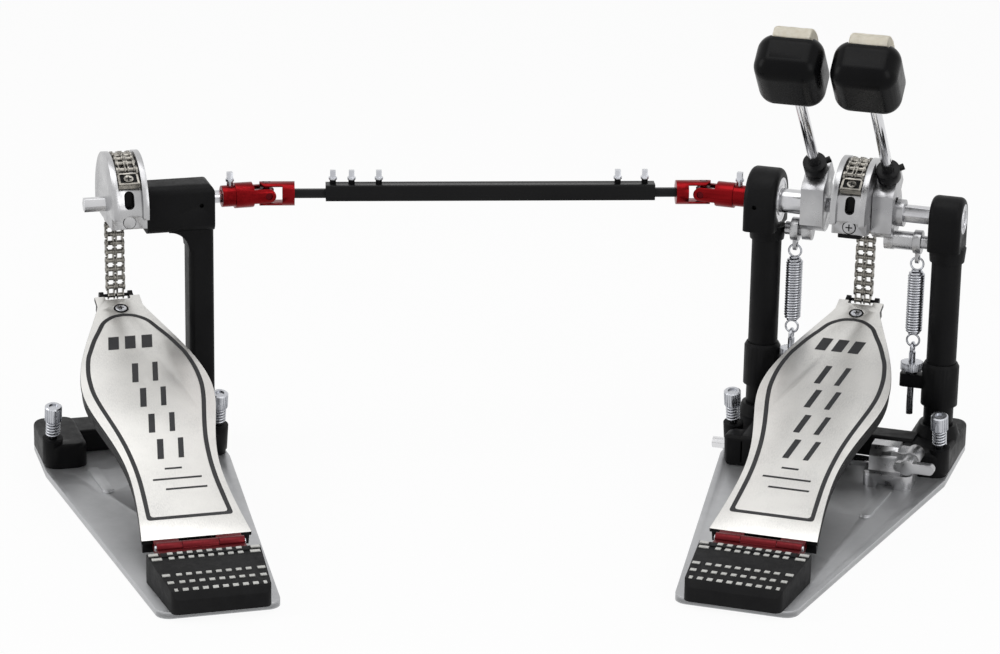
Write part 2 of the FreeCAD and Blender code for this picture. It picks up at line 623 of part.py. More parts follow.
def outer_link(start, end):
    """A pin link: two pins, a middle plate and two side plates."""
    side = STRAND_GAP / 2 + ROLLER_LENGTH / 2 + CHAIN_PLATE_THICK + 0.1
    half_plate = CHAIN_PLATE_THICK / 2
    solids = [chain_plate((-half_plate, half_plate), start, end)]
    solids.append(chain_plate((side, side + CHAIN_PLATE_THICK), start, end))
    solids.append(chain_plate((-side - CHAIN_PLATE_THICK, -side), start, end))
    reach = side + CHAIN_PLATE_THICK + 0.4
    solids += [bar_x(CHAIN_PIN_R, (-reach, reach), p.y, p.z) for p in (start, end)]
    return [solids[0].fuse(solids[1:]).removeSplitter()]


def inner_link(start, end):
    """A roller link: in each strand, two plates with the rollers between them."""
    links = []
    for strand in (-STRAND_GAP / 2, STRAND_GAP / 2):
        low = strand - ROLLER_LENGTH / 2
        high = strand + ROLLER_LENGTH / 2
        link = chain_plate((low - CHAIN_PLATE_THICK, low), start, end)
        link = link.fuse(chain_plate((high, high + CHAIN_PLATE_THICK), start, end))
        link = link.fuse([bar_x(ROLLER_R, (low, high), p.y, p.z) for p in (start, end)]).removeSplitter()
        for p in (start, end):
            link = link.cut(bar_x(CHAIN_PIN_R + RUN_FIT, (-50, 50), p.y, p.z))
        links.append(link)
    return links


def chain(points):
    """A stretch of chain whose first link is a roller link."""
    solids = []
    for i in range(len(points) - 1):
        make = outer_link if i % 2 else inner_link
        solids += make(points[i], points[i + 1])
    return solids


def on_cam(turn):
    """A point of the chain's pin circle, from the tangent point back over the cam."""
    return V(0, CHAIN_WRAP_R * math.cos(turn), AXLE_HEIGHT + CHAIN_WRAP_R * math.sin(turn))


def straight(start, end, links):
    return [start + (end - start) * (i / links) for i in range(links + 1)]


def chain_run():
    return chain(straight(TOE_PIN, TANGENT, RUN_LINKS))


def chain_pair(number):
    """A pair of links that lies on the cam at rest and hangs in line with the run at full stroke."""
    return chain(straight(on_cam((number - 1) * PAIR_TURN), on_cam(number * PAIR_TURN), 2))


def chain_wrap():
    """The chain that stays on the cam, and the clasp that a screw holds down past its last pin."""
    turns = [STROKE + i * LINK_TURN for i in range(WRAP_LINKS + 1)]
    return chain([on_cam(turn) for turn in turns]) + chain_clasp(turns[-1])


def chain_clasp(turn):
    """The clasp and its screw, drawn with the last pin along X, +y onward and +z away from the axle."""
    radial = V(0, math.cos(turn), math.sin(turn))
    onward = V(0, -math.sin(turn), math.cos(turn))
    seat = CAM_FLOOR_R - CHAIN_WRAP_R + 0.1
    clasp = block((-7.4, 7.4), (3.2, 14.0), (seat, seat + 3.6))
    for side in (-1, 1):
        low, high = sorted((side * 5.9, side * 7.4))
        clasp = clasp.fuse(block((low, high), (0, 4.0), (-2.4, 2.4)))
        clasp = clasp.fuse(bar_x(2.4, (low, high)))
    clasp = clasp.fuse(bar_x(CHAIN_PIN_R, (-7.4, 7.4))).removeSplitter()
    head = bar_z(3.2, (seat + 3.6, seat + 5.0), 0, 9.2)
    rotation = FreeCAD.Rotation(V(-1, 0, 0), onward, radial, "XYZ")
    for solid in (clasp, head):
        solid.Placement = FreeCAD.Placement(on_cam(turn), rotation)
    return [clasp, head]


# ---------------------------------------------------------------- cam, hubs and axles
def cam(hex_size):
    """The drive cam: two flanges, the groove that the chain lies in, and a clamping block below."""
    x = (-CAM_HALF, CAM_HALF)
    body = bar_x(CAM_FLANGE_R, x, 0, AXLE_HEIGHT)
    groove = bar_x(CAM_FLANGE_R + 1, (-CAM_GROOVE_HALF, CAM_GROOVE_HALF), 0, AXLE_HEIGHT)
    groove = groove.cut(bar_x(CAM_FLOOR_R, x, 0, AXLE_HEIGHT))
    body = body.cut(groove)
    under = block((-50, 50), (-60, 60), (AXLE_HEIGHT - 80, AXLE_HEIGHT - CAM_FLAT_DROP))
    body = body.cut(under)
    nose = block((-CAM_HALF, CAM_HALF), (-60, -CAM_FLOOR_R + 2), (AXLE_HEIGHT - 60, AXLE_HEIGHT - 3))
    body = body.cut(nose)
    slot = block((-3.4, 3.4), (-60, -CAM_FLOOR_R + 10), (AXLE_HEIGHT + 3, AXLE_HEIGHT + 15))
    body = body.cut(rounded(slot, 3.2, lambda e: runs_along(e, V(0, 1, 0))))
    body = body.cut(hex_x(hex_size, (-50, 50), 0, AXLE_HEIGHT))
    screw_z = AXLE_HEIGHT - CAM_FLAT_DROP / 2 - 0.8
    face_y = -CAM_FLOOR_R + 2
    body = body.cut(bar_y(4.6, (face_y - 5, face_y + 1.5), 0, screw_z))
    body = body.cut(bar_y(3.0, (face_y - 5, face_y + 14), 0, screw_z))
    screw = bar_y(4.1, (face_y - 0.4, face_y + 1.5), 0, screw_z)
    screw = screw.fuse(bar_y(3.0, (face_y, face_y + 14), 0, screw_z))
    return [body, screw]


def hub(x, rod_x, hollow):
    """A beater hub: a round boss, the clamp for the beater rod, and the crank arm below."""
    rod_foot = ROD_ACROSS * BEATER_OFFSET
    seat = rod_foot + ROD_DIRECTION * (COLLAR_UP - COLLAR_THICK / 2)
    near = seat - ROD_ACROSS * 9.5
    far = seat + ROD_ACROSS * 9.5
    low_far = far - ROD_DIRECTION * (ROD_TAIL - 8.0)
    low_near = low_far - ROD_ACROSS * 18.0
    front = -14.0
    outline = [(front, -8.0), (front, near.z - 5.0), (near.y - 3.0, near.z - 1.0),
               (near.y, near.z), (far.y, far.z),
               (low_far.y, low_far.z), (low_near.y, low_near.z), (4.0, -12.0)]
    body = prism_x(lift(outline), x)
    body = body.fuse(bar_x(HUB_R, x, 0, AXLE_HEIGHT)).removeSplitter()
    body = body.common(block((-100, 100), (front, 100), (0, 400)))
    start = V(rod_x, rod_foot.y, AXLE_HEIGHT + rod_foot.z)
    reach = ROD_DIRECTION * 60
    body = body.cut(bar_between(BEATER_ROD_R + RUN_FIT, start - reach, start + reach))
    return body.cut(hollow)


def crank(side, arm_x, pin_x):
    """The arm and pin that a return spring pulls on. side is the way that the pin points."""
    pin_z = AXLE_HEIGHT - CRANK_R
    arm = block(arm_x, (-7.0, 7.0), (pin_z, AXLE_HEIGHT - 8)).fuse(bar_x(7.0, arm_x, 0, pin_z))
    return arm.fuse(bar_x(CRANK_PIN_R, pin_x, 0, pin_z))


def crank_end(housing_face):
    """How far out a crank pin goes, clear of the housing and of the neck under it."""
    return min(abs(housing_face) - 1.2, POST_X - NECK_R - 0.5)


def right_hub():
    x = RIGHT_HUB_X
    body = hub(x, RIGHT_ROD_X, hex_x(MAIN_HEX, (-100, 100), 0, AXLE_HEIGHT))
    arm = crank(1, (x[1] - 6.6, x[1]), (x[1] - 1, crank_end(RIGHT_HOUSING_X[0])))
    arm = arm.cut(bar_x(MAIN_HEX / 2 + 2, (-100, 100), 0, AXLE_HEIGHT))
    shoulder = bar_x(CRANK_PIN_R + 1.8, (x[1], SPRING_X - ROCKER_WIDE / 2 - 0.3), 0, AXLE_HEIGHT - CRANK_R)
    body = body.fuse([arm, shoulder]).removeSplitter()
    clamp = bar_x(9.4, (x[1], x[1] + 6.2), 0, AXLE_HEIGHT).cut(hex_x(MAIN_HEX, (0, 100), 0, AXLE_HEIGHT))
    return [body, clamp]


def left_hub():
    x = LEFT_HUB_X
    hollow = bar_x(LEFT_SHAFT_R, (x[0] - 1, x[0] + LEFT_HUB_DEPTH), 0, AXLE_HEIGHT)
    hollow = hollow.fuse(bar_x(STUB_R + RUN_FIT, (x[0] - 1, x[1] + 1), 0, AXLE_HEIGHT))
    body = hub(x, LEFT_ROD_X, hollow)
    arm = crank(-1, (x[0], x[0] + 6.6), (-crank_end(LEFT_HOUSING_X[1]), x[0] + 1))
    arm = arm.cut(bar_x(LEFT_SHAFT_R + 1, (-100, 100), 0, AXLE_HEIGHT))
    return [body.fuse(arm).removeSplitter()]


def main_axle():
    """The main axle: a hexagonal bar with a round journal at its right and a stub at its left."""
    left_end = LEFT_HUB_X[0] + LEFT_HUB_DEPTH + GAP
    bar = hex_x(MAIN_HEX, (-CAM_HALF - 6.0, RIGHT_HOUSING_X[0] - 1.0), 0, AXLE_HEIGHT)
    stub = bar_x(STUB_R, (left_end, 0), 0, AXLE_HEIGHT)
    journal = bar_x(JOURNAL_R, (RIGHT_HOUSING_X[0] - 1.0, AXLE_END_X), 0, AXLE_HEIGHT)
    return [bar.fuse([stub, journal]).removeSplitter()]


def left_shaft():
    """The round shaft from the left hub, through its bearings, to the outer yoke."""
    ends = (LEFT_HOUSING_X[0] - MAIN_YOKE_GAP, LEFT_HUB_X[0] + LEFT_HUB_DEPTH)
    shaft = bar_x(LEFT_SHAFT_R, ends, 0, AXLE_HEIGHT)
    tail = bar_x(YOKE_R / 2, (MAIN_JOINT.x + YOKE_BORE_START, LEFT_HOUSING_X[0]), 0, AXLE_HEIGHT)
    return [shaft.fuse(tail).removeSplitter()]


# ---------------------------------------------------------------- beaters
def beater_point(rod_x, up):
    """A point on a beater rod's axis, from the middle of its collar."""
    foot_point = ROD_ACROSS * BEATER_OFFSET + ROD_DIRECTION * (COLLAR_UP + up)
    return V(rod_x, foot_point.y, AXLE_HEIGHT + foot_point.z)


def memory_collar(rod_x):
    """The black collar that keeps the rod's height, with its key screw."""
    half = COLLAR_THICK / 2
    low = beater_point(rod_x, -half + 0.02)
    collar = bar_between(COLLAR_R, low, beater_point(rod_x, half))
    screw = Part.makeCylinder(2.3, COLLAR_R + 3.2, beater_point(rod_x, 0.4), V(1, 0.45, 0.45))
    collar = collar.fuse(screw).removeSplitter()
    ends = (beater_point(rod_x, -30), beater_point(rod_x, 30))
    return [collar.cut(bar_between(BEATER_ROD_R + RUN_FIT, ends[0], ends[1]))]


def beater_rod(rod_x):
    top = HEAD_UP + 8.0
    return [bar_between(BEATER_ROD_R, beater_point(rod_x, -ROD_TAIL), beater_point(rod_x, top))]


def in_beater(rod_x, shape):
    """A shape drawn upright about the head's middle, x across and +y at the drum, put on its rod."""
    shape.rotate(V(0, 0, 0), V(1, 0, 0), BEATER_LEAN)
    shape.translate(beater_point(rod_x, HEAD_UP))
    return shape


def beater_head(rod_x):
    """The hard head: a block with heavily rounded corners, open at the drum side for its felt."""
    across = (-HEAD_HALF_WIDE, HEAD_HALF_WIDE)
    head = block(across, (-HEAD_BACK, HEAD_FRONT), (-HEAD_HALF_LONG, HEAD_HALF_LONG))
    head = rounded(head, HEAD_CORNER, lambda e: e.Length > 0)
    head = head.cut(block((-FELT_HALF_X, FELT_HALF_X), (FELT_FRONT - FELT_DEEP, 60), (-60, 60)))
    head = head.cut(bar_z(BEATER_ROD_R, (-60, 8.0)))
    return [in_beater(rod_x, head)]


def beater_felt(rod_x):
    """The felt block that the head holds, rounded where it strikes."""
    half = HEAD_HALF_LONG - 0.5
    felt = block((-FELT_HALF_X, FELT_HALF_X), (FELT_FRONT - FELT_DEEP, FELT_FRONT), (-half, half))
    crown = bar_x(half + 8.0, (-FELT_HALF_X, FELT_HALF_X), FELT_FRONT - half - 8.0, 0)
    return [in_beater(rod_x, felt.common(crown))]


# ---------------------------------------------------------------- return springs
def rocker(side):
    """The ring that rides on a crank pin, with an eye for the spring."""
    pin_z = AXLE_HEIGHT - CRANK_R
    x = (side * SPRING_X - ROCKER_WIDE / 2, side * SPRING_X + ROCKER_WIDE / 2)
    body = bar_x(ROCKER_R, x, 0, pin_z)
    ear_x = (side * SPRING_X - 1.2, side * SPRING_X + 1.2)
    eye_z = pin_z - ROCKER_EYE_DROP
    ear = bar_x(4.0, ear_x, 0, eye_z).fuse(block(ear_x, (-4.0, 4.0), (eye_z, pin_z)))
    body = body.fuse(ear).removeSplitter()
    body = body.cut(bar_x(CRANK_PIN_R + RUN_FIT, (-100, 100), 0, pin_z))
    return [body.cut(bar_x(1.9, (-100, 100), 0, eye_z))]


def spring(side):
    """The return spring's outer shape: the closed coils as one sleeve, with a loop at each end."""
    x = side * SPRING_X
    wire = SPRING_WIRE / 2
    eye_z = AXLE_HEIGHT - CRANK_R - ROCKER_EYE_DROP
    top_loop = eye_z - LOOP_R
    low_loop = SPRING_EYE_Z + LOOP_R - wire
    coil_z = (low_loop + LOOP_R - wire, top_loop - LOOP_R + wire)
    hollow = bar_z(SPRING_R - SPRING_WIRE, (coil_z[0] + 2, coil_z[1] - 2), x, 0)
    sleeve = bar_z(SPRING_R, coil_z, x, 0).cut(hollow)
    loops = [ring(LOOP_R, wire, V(x, 0, z), V(0, 1, 0)) for z in (low_loop, top_loop)]
    return [sleeve.fuse(loops).removeSplitter()]


# ---------------------------------------------------------------- drive shaft
def key_screw(x, y, z):
    """A square-headed key screw that stands on a surface at height z."""
    head = block((x - 1.9, x + 1.9), (y - 1.9, y + 1.9), (z + 4.6, z + KEY_SCREW_TALL))
    return head.fuse([bar_z(KEY_SCREW_R, (z - 2.5, z + 5), x, y), bar_z(3.0, (z + 3.2, z + 4.7), x, y)])


def outer_yoke(screw_up):
    """The axle's half of a universal joint, drawn along X with the joint at the origin and the axle at +X."""
    ear = block((0, 12.0), (-YOKE_R, YOKE_R), (-EAR_R, EAR_R)).fuse(bar_y(EAR_R, (-YOKE_R, YOKE_R)))
    ear = ear.common(bar_x(YOKE_R, (-20, 20)))
    body = bar_x(YOKE_R, (10.0, 23.0)).fuse(bar_x(YOKE_R - 1.4, (22.0, YOKE_REACH)))
    body = body.fuse(ear).removeSplitter()
    body = body.cut(block((-20, 10.5), (-CROSS_HALF - GAP, CROSS_HALF + GAP), (-20, 20)))
    body = body.cut(bar_y(TRUNNION_R + RUN_FIT, (-20, 20)))
    body = body.cut(bar_x(YOKE_R / 2, (YOKE_BORE_START, 60)))
    screw = key_screw(YOKE_REACH - 6.0, 0, YOKE_R - 1.4 + screw_up)
    return body, screw


def inner_yoke():
    """The drive shaft's half of a universal joint, drawn along X with the shaft at -X."""
    side = YOKE_R - 0.4
    ear = block((-14.0, 0), (-EAR_R, EAR_R), (-side, side)).fuse(bar_z(EAR_R, (-side, side)))
    ear = ear.common(bar_x(side, (-20, 20)))
    body = ear.fuse(bar_x(side, (-INNER_YOKE_LONG, -11.0))).removeSplitter()
    body = body.cut(block((-11.0, 20), (-20, 20), (-CROSS_HALF - 1.6, CROSS_HALF + 1.6)))
    return body.cut(bar_z(TRUNNION_R + TRUNNION_SLACK, (-20, 20)))


def cross():
    """The block and four trunnions between the two yokes."""
    half = CROSS_HALF
    body = block((-half, half), (-half, half), (-half, half))
    pin_y = bar_y(TRUNNION_R, (-YOKE_R + 0.6, YOKE_R - 0.6))
    pin_z = bar_z(TRUNNION_R, (-YOKE_R + 0.8, YOKE_R - 0.8))
    return body.fuse([pin_y, pin_z])


def placed(shapes, placement):
    """The shapes moved from a local frame to the row frame."""
    moved = []
    for shape in shapes:
        copy = shape.copy()
        copy.Placement = placement.multiply(copy.Placement)
        moved.append(copy)
    return moved


def flipped(shape):
    """A shape turned half a turn about Z, for the drive shaft's other end."""
    copy = shape.copy()
    copy.rotate(V(0, 0, 0), V(0, 0, 1), 180)
    return copy


def main_outer_yoke():
    """Drawn on the main pedal's axle: the axle is at the joint's right."""
    body, screw = outer_yoke(0)
    return placed([body, screw], turned(0, MAIN_JOINT.x, MAIN_JOINT.y, MAIN_JOINT.z))


def slave_outer_yoke():
    """Drawn on the second pedal's axle: the axle is at the joint's left."""
    body, screw = outer_yoke(0)
    return placed([flipped(body), flipped(screw)], turned(0, SLAVE_JOINT_X, 0, AXLE_HEIGHT))


def main_drive_rod():
    """The main pedal's inner yoke, with the short rod that the tube is fixed to."""
    rod = hex_x(HEX_ROD, (-TUBE_MAIN_GAP - MAIN_ROD_IN_TUBE, -13.0))
    return [inner_yoke().cut(rod), rod]


def slave_drive_rod():
    """The second pedal's inner yoke, with the rod that slides in the tube."""
    start = -JOINT_TO_JOINT
    rod = hex_x(HEX_ROD, (start + 13.0, -TUBE_MAIN_GAP - TUBE_LENGTH + SLAVE_ROD_IN_TUBE))
    yoke = flipped(inner_yoke())
    yoke.translate(V(start, 0, 0))
    return [yoke.cut(rod), rod]


def drive_tube():
    """The tube, open right through, with the key screws that grip the two rods."""
    end = -TUBE_MAIN_GAP
    start = end - TUBE_LENGTH
    half = TUBE_SIDE / 2
    tube = block((start, end), (-half, half), (TUBE_RISE - half, TUBE_RISE + half))
    tube = rounded(tube, 1.2, along_x)
    tube = tube.cut(hex_x(HEX_ROD + 2 * RUN_FIT, (start - 1, end + 1)))
    places = (end - 7, end - 26, start + 5, start + 18, start + 37)
    screws = [key_screw(x, 0, TUBE_RISE + half) for x in places]
    screws = [s.cut(hex_x(HEX_ROD + 2 * RUN_FIT + 0.02, (start - 1, end + 1))) for s in screws]
    for s in screws:
        tube = tube.cut(s)
    return [tube] + screws


# ---------------------------------------------------------------- second pedal
def slave_base_casting():
    """The second pedal's toe casting, with the goose-neck tower that holds its axle."""
    pad = foot(SLAVE_SHOULDER_HALF, SLAVE_SHOULDER_HALF - 30.0, SLAVE_TOE_Y)
    reach = SLAVE_SHOULDER_HALF - 14.0
    beam = block((-reach, reach), (-16.0, SLAVE_TOE_Y - 3.0), (FLOOR_OF_PARTS, FLOOR_OF_PARTS + 16.0))
    beam = rounded(beam, 3.0, along_x)
    casting = pad.fuse([mirrored(pad), beam, tower()]).removeSplitter()
    for side in (-1, 1):
        casting = casting.cut(along_spur(SPUR_R + RUN_FIT, -5, 60, side * spur_x(SLAVE_SHOULDER_HALF)))
    return [casting]


def tower():
    """The goose neck: a barrel along the axle on one upright arm."""
    top = AXLE_HEIGHT + TOWER_ABOVE
    low = AXLE_HEIGHT - TOWER_BELOW
    barrel = block(TOWER_X, (-TOWER_HALF_Y, TOWER_HALF_Y), (low, top))
    barrel = rounded(barrel, 6.0, lambda e: along_x(e) or is_tower_shoulder(e, top))
    arm = block(TOWER_ARM_X, (-TOWER_HALF_Y + 3, TOWER_HALF_Y - 3), (FLOOR_OF_PARTS, AXLE_HEIGHT))
    arm = rounded(arm, 4.0, along_z)
    curve_r = 14.0
    corner_x = (TOWER_ARM_X[0] - curve_r, TOWER_ARM_X[0] + 5)
    corner = block(corner_x, (-TOWER_HALF_Y + 3, TOWER_HALF_Y - 3), (low - curve_r, low + 6))
    corner = corner.cut(bar_y(curve_r, (-30, 30), TOWER_ARM_X[0] - curve_r, low - curve_r))
    body = barrel.fuse([arm, corner]).removeSplitter()
    grub = bar_y(GRUB_HOLE_R, (-TOWER_HALF_Y - 1, -TOWER_HALF_Y + 4.5), TOWER_X[1] - 9.4, AXLE_HEIGHT - 2)
    return body.cut(grub).cut(bar_x(JOURNAL_R + RUN_FIT, (-100, 200), 0, AXLE_HEIGHT))


def is_tower_shoulder(edge, top):
    """True for the barrel's top edge at its outer end."""
    centre = edge.CenterOfMass
    return runs_along(edge, V(0, 1, 0)) and centre.x > TOWER_X[1] - 0.1 and centre.z > top - 0.1


def slave_axle():
    """The second pedal's axle: a hexagonal bar through the cam, then a round journal to the yoke."""
    bar = hex_x(SLAVE_HEX, (SLAVE_AXLE_LEFT, TOWER_X[0] - 0.5), 0, AXLE_HEIGHT)
    journal = bar_x(JOURNAL_R, (CAM_HALF, TOWER_X[1] + 1.0), 0, AXLE_HEIGHT)
    tail = bar_x(YOKE_R / 2, (TOWER_X[1], SLAVE_JOINT_X - YOKE_BORE_START), 0, AXLE_HEIGHT)
    return [bar.fuse([journal, tail]).removeSplitter()]


# ---------------------------------------------------------------- spurs and hoop clamp
def spur(side, shoulder):
    """A spur: a pointed screw with a grooved head."""
    x = side * spur_x(shoulder)
    tip = SPUR_TIP_Z + 5.0
    shank = along_spur(SPUR_R, tip, SPUR_TOP_Z - 1.0, x)
    point = along_spur(SPUR_R, SPUR_TIP_Z, tip, x, 0.4)
    head = along_spur(SPUR_HEAD_R, SPUR_TOP_Z - SPUR_HEAD_TALL, SPUR_TOP_Z, x)
    return [shank.fuse([point, head]).removeSplitter()]


def clamp_foot():
    """The bright block that carries the clamp rod's right end, on an arched foot, and the rod."""
    x = CLAMP_BLOCK_X
    foot_y = (CLAMP_Y - 17, CLAMP_Y + 12)
    arch = block((x[0] - 2, x[1] + 4), foot_y, (FLOOR_OF_PARTS, FLOOR_OF_PARTS + 10))
    arch = rounded(arch, 6.0, along_z)
    arch = arch.cut(bar_y(6.0, (CLAMP_Y - 40, CLAMP_Y - 10), (x[0] + x[1]) / 2, FLOOR_OF_PARTS))
    head = prism_x([(CLAMP_Y - 10, FLOOR_OF_PARTS + 2), (CLAMP_Y - 10, CLAMP_Z + 8),
                    (CLAMP_Y - 4, CLAMP_Z + 14),
                    (CLAMP_Y + 10, CLAMP_Z + 14), (CLAMP_Y + 10, FLOOR_OF_PARTS + 2)], (x[0] + 1, x[1] - 8))
    head = rounded(head, 2.5, along_x)
    boss = bar_y(5.8, (CLAMP_Y - 10, CLAMP_Y + 8), wing_x(), wing_z())
    web = block((x[1] - 12, wing_x()), (CLAMP_Y - 9, CLAMP_Y + 8), (FLOOR_OF_PARTS + 8, wing_z() + 4))
    body = arch.fuse([head, boss, web]).removeSplitter()
    body = body.cut(bar_x(CLAMP_ROD_R, (-100, 100), CLAMP_Y, CLAMP_Z))
    body = body.cut(bar_y(3.1, (CLAMP_Y - 40, CLAMP_Y - 2), wing_x(), wing_z()))
    rod = bar_x(CLAMP_ROD_R, (-82.0, x[1] + 5.0), CLAMP_Y, CLAMP_Z)
    return [body, rod]


def wing_x():
    return CLAMP_BLOCK_X[1] + 2.0


def wing_z():
    return CLAMP_Z + 7.5


def clamp_wing():
    """The wing screw that locks the clamp: a stem with a long and a short blade."""
    x = wing_x()
    z = wing_z()
    tip = CLAMP_Y - 2.2
    face = CLAMP_Y - 10
    stem = bar_y(3.05, (face - 12, tip), x, z).fuse(bar_y(5.2, (face - 15.5, face - 1.0), x, z))
    blade = block((x - WING_SHORT, x + WING_LONG), (face - 15, face - 9), (z - 3.4, z + 3.4))
    blade = rounded(blade, 3.2, lambda e: runs_along(e, V(0, 1, 0)))
    return [stem.fuse(blade).removeSplitter()]


def clamp_jaw():
    """The lever that presses on the drum's hoop: a boss on the clamp rod, an arm and a padded tip."""
    half = JAW_HALF
    tip_z = FLOOR_OF_PARTS + HOOP_GAP
    boss = bar_x(8.5, (-half, half), CLAMP_Y, CLAMP_Z)
    arm_low = max(tip_z, FLOOR_OF_PARTS + 10.0 + 1.0)
    arm = prism_x([(CLAMP_Y, CLAMP_Z - 2), (-26.0, arm_low + 1.0),
                   (JAW_TIP_Y, tip_z), (JAW_TIP_Y, tip_z + 8.0),
                   (-26.0, arm_low + 12.0), (CLAMP_Y, CLAMP_Z + 8)], (-half, half))
    jaw = boss.fuse(arm).removeSplitter()
    return [jaw.cut(bar_x(CLAMP_ROD_R + RUN_FIT, (-100, 100), CLAMP_Y, CLAMP_Z))]


# ---------------------------------------------------------------- the assembly
def nodes():
    """Every node of the assembly: its name, its solids and the frame that they are drawn in."""
    pedals = (
        ("main", MAIN_PLACE, MAIN_SHOULDER_HALF, MAIN_TOE_Y, MAIN_RIB_X, MAIN_RIB_Y),
        ("slave", SLAVE_PLACE, SLAVE_SHOULDER_HALF, SLAVE_TOE_Y, SLAVE_RIB_X, SLAVE_RIB_Y),
    )
    for name, place, shoulder, toe_y, rib_x, rib_y in pedals:
        yield name + "_base_plate", base_plate(shoulder, toe_y, rib_x, rib_y), place
        yield name + "_heel_block", heel_block(), place
        yield name + "_heel_hinge", heel_hinge(), place
        yield name + "_footboard_plate", footboard_plate(), place
        yield name + "_footboard_tray", footboard_tray(), place
        yield name + "_chain_run", chain_run(), place
        for number in range(1, PAIRS + 1):
            yield name + "_chain_pair_" + str(number), chain_pair(number), place
        yield name + "_chain_wrap", chain_wrap(), place
        yield name + "_cam", cam(MAIN_HEX if name == "main" else SLAVE_HEX), place
        yield name + "_left_spur", spur(-1, shoulder), place
        yield name + "_right_spur", spur(1, shoulder), place
    yield "main_base_casting", main_base_casting(), MAIN_PLACE
    yield "main_posts", main_posts(), MAIN_PLACE
    yield "main_left_housing", main_left_housing(), MAIN_PLACE
    yield "main_right_housing", main_right_housing(), MAIN_PLACE
    yield "main_bearings", main_bearings(), MAIN_PLACE
    yield "spring_brackets", spring_brackets(), MAIN_PLACE
    yield "main_axle", main_axle(), MAIN_PLACE
    yield "left_shaft", left_shaft(), MAIN_PLACE
    yield "right_hub", right_hub(), MAIN_PLACE
    yield "left_hub", left_hub(), MAIN_PLACE
    for name, side, rod_x in (("right", 1, RIGHT_ROD_X), ("left", -1, LEFT_ROD_X)):
        yield name + "_tension_nut", tension_nut(side), MAIN_PLACE
        yield name + "_rocker", rocker(side), MAIN_PLACE
        yield name + "_spring", spring(side), MAIN_PLACE
        yield name + "_memory_collar", memory_collar(rod_x), MAIN_PLACE
        yield name + "_beater_rod", beater_rod(rod_x), MAIN_PLACE
        yield name + "_beater_head", beater_head(rod_x), MAIN_PLACE
        yield name + "_beater_felt", beater_felt(rod_x), MAIN_PLACE
    yield "clamp_foot", clamp_foot(), MAIN_PLACE
    yield "clamp_wing", clamp_wing(), MAIN_PLACE
    yield "clamp_jaw", clamp_jaw(), MAIN_PLACE
    yield "main_outer_yoke", main_outer_yoke(), MAIN_PLACE
    yield "main_cross", placed([cross()], turned(0, MAIN_JOINT.x, MAIN_JOINT.y, MAIN_JOINT.z)), MAIN_PLACE
    yield "main_drive_rod", main_drive_rod(), SHAFT_PLACE
    yield "drive_tube", drive_tube(), SHAFT_PLACE
    yield "slave_drive_rod", slave_drive_rod(), SHAFT_PLACE
    yield "slave_cross", placed([cross()], turned(0, SLAVE_JOINT_X, 0, AXLE_HEIGHT)), SLAVE_PLACE
    yield "slave_outer_yoke", slave_outer_yoke(), SLAVE_PLACE
    yield "slave_axle", slave_axle(), SLAVE_PLACE
    yield "slave_base_casting", slave_base_casting(), SLAVE_PLACE


def main():
    os.makedirs("parts", exist_ok=True)
    count = 0
    for name, shapes, place in nodes():
        solids = []
        for shape in placed(shapes, place):
            solids += shape.Solids
        Part.makeCompound(solids).exportStep("parts/" + name + ".step")
        bad = [i for i, s in enumerate(solids) if not s.isValid()]
        volume = sum(s.Volume for s in solids)
        print(f"{name:24s} solids {len(solids):3d}  volume {volume:10.1f}", "BAD " + str(bad) if bad else "")
        count += 1
    print(count, "nodes; run links", RUN_LINKS, "run", round(RUN_LENGTH, 2), "pitch", round(RUN_LENGTH / RUN_LINKS, 3))


if __name__ == "__main__":
    main()
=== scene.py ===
import json
import math

import bpy
from mathutils import Matrix, Vector


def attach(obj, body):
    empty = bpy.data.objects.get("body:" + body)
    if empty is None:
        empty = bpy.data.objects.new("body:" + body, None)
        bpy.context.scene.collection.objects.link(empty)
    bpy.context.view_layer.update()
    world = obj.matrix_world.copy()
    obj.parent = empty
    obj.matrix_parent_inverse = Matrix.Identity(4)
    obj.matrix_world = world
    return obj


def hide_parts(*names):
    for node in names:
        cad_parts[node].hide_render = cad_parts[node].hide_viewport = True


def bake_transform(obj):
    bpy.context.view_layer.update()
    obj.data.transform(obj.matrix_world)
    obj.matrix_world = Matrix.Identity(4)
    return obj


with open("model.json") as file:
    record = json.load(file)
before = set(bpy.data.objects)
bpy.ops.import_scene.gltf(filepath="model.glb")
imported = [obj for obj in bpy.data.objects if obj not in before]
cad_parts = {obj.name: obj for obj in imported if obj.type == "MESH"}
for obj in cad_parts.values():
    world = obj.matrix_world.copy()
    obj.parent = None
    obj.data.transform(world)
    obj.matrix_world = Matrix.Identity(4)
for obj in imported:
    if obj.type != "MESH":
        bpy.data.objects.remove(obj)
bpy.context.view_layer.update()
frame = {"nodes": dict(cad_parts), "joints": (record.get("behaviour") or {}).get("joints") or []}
nodes = frame["nodes"]

MM = 0.001

# ------------------------------------------------------------------ frames of the pieces
joints = {joint["name"]: joint for joint in frame["joints"]}


def pedal_frame(axle_joint):
    """A pedal's own frame, on the floor under its axle, with X along the axle and Y toward the toe."""
    x = -Vector(joints[axle_joint]["axis"])
    z = Vector((0, 0, 1))
    y = z.cross(x)
    turn = Matrix((x, y, z)).transposed().to_4x4()
    place = Vector(joints[axle_joint]["pos_m"])
    place.z = 0
    return Matrix.Translation(place) @ turn


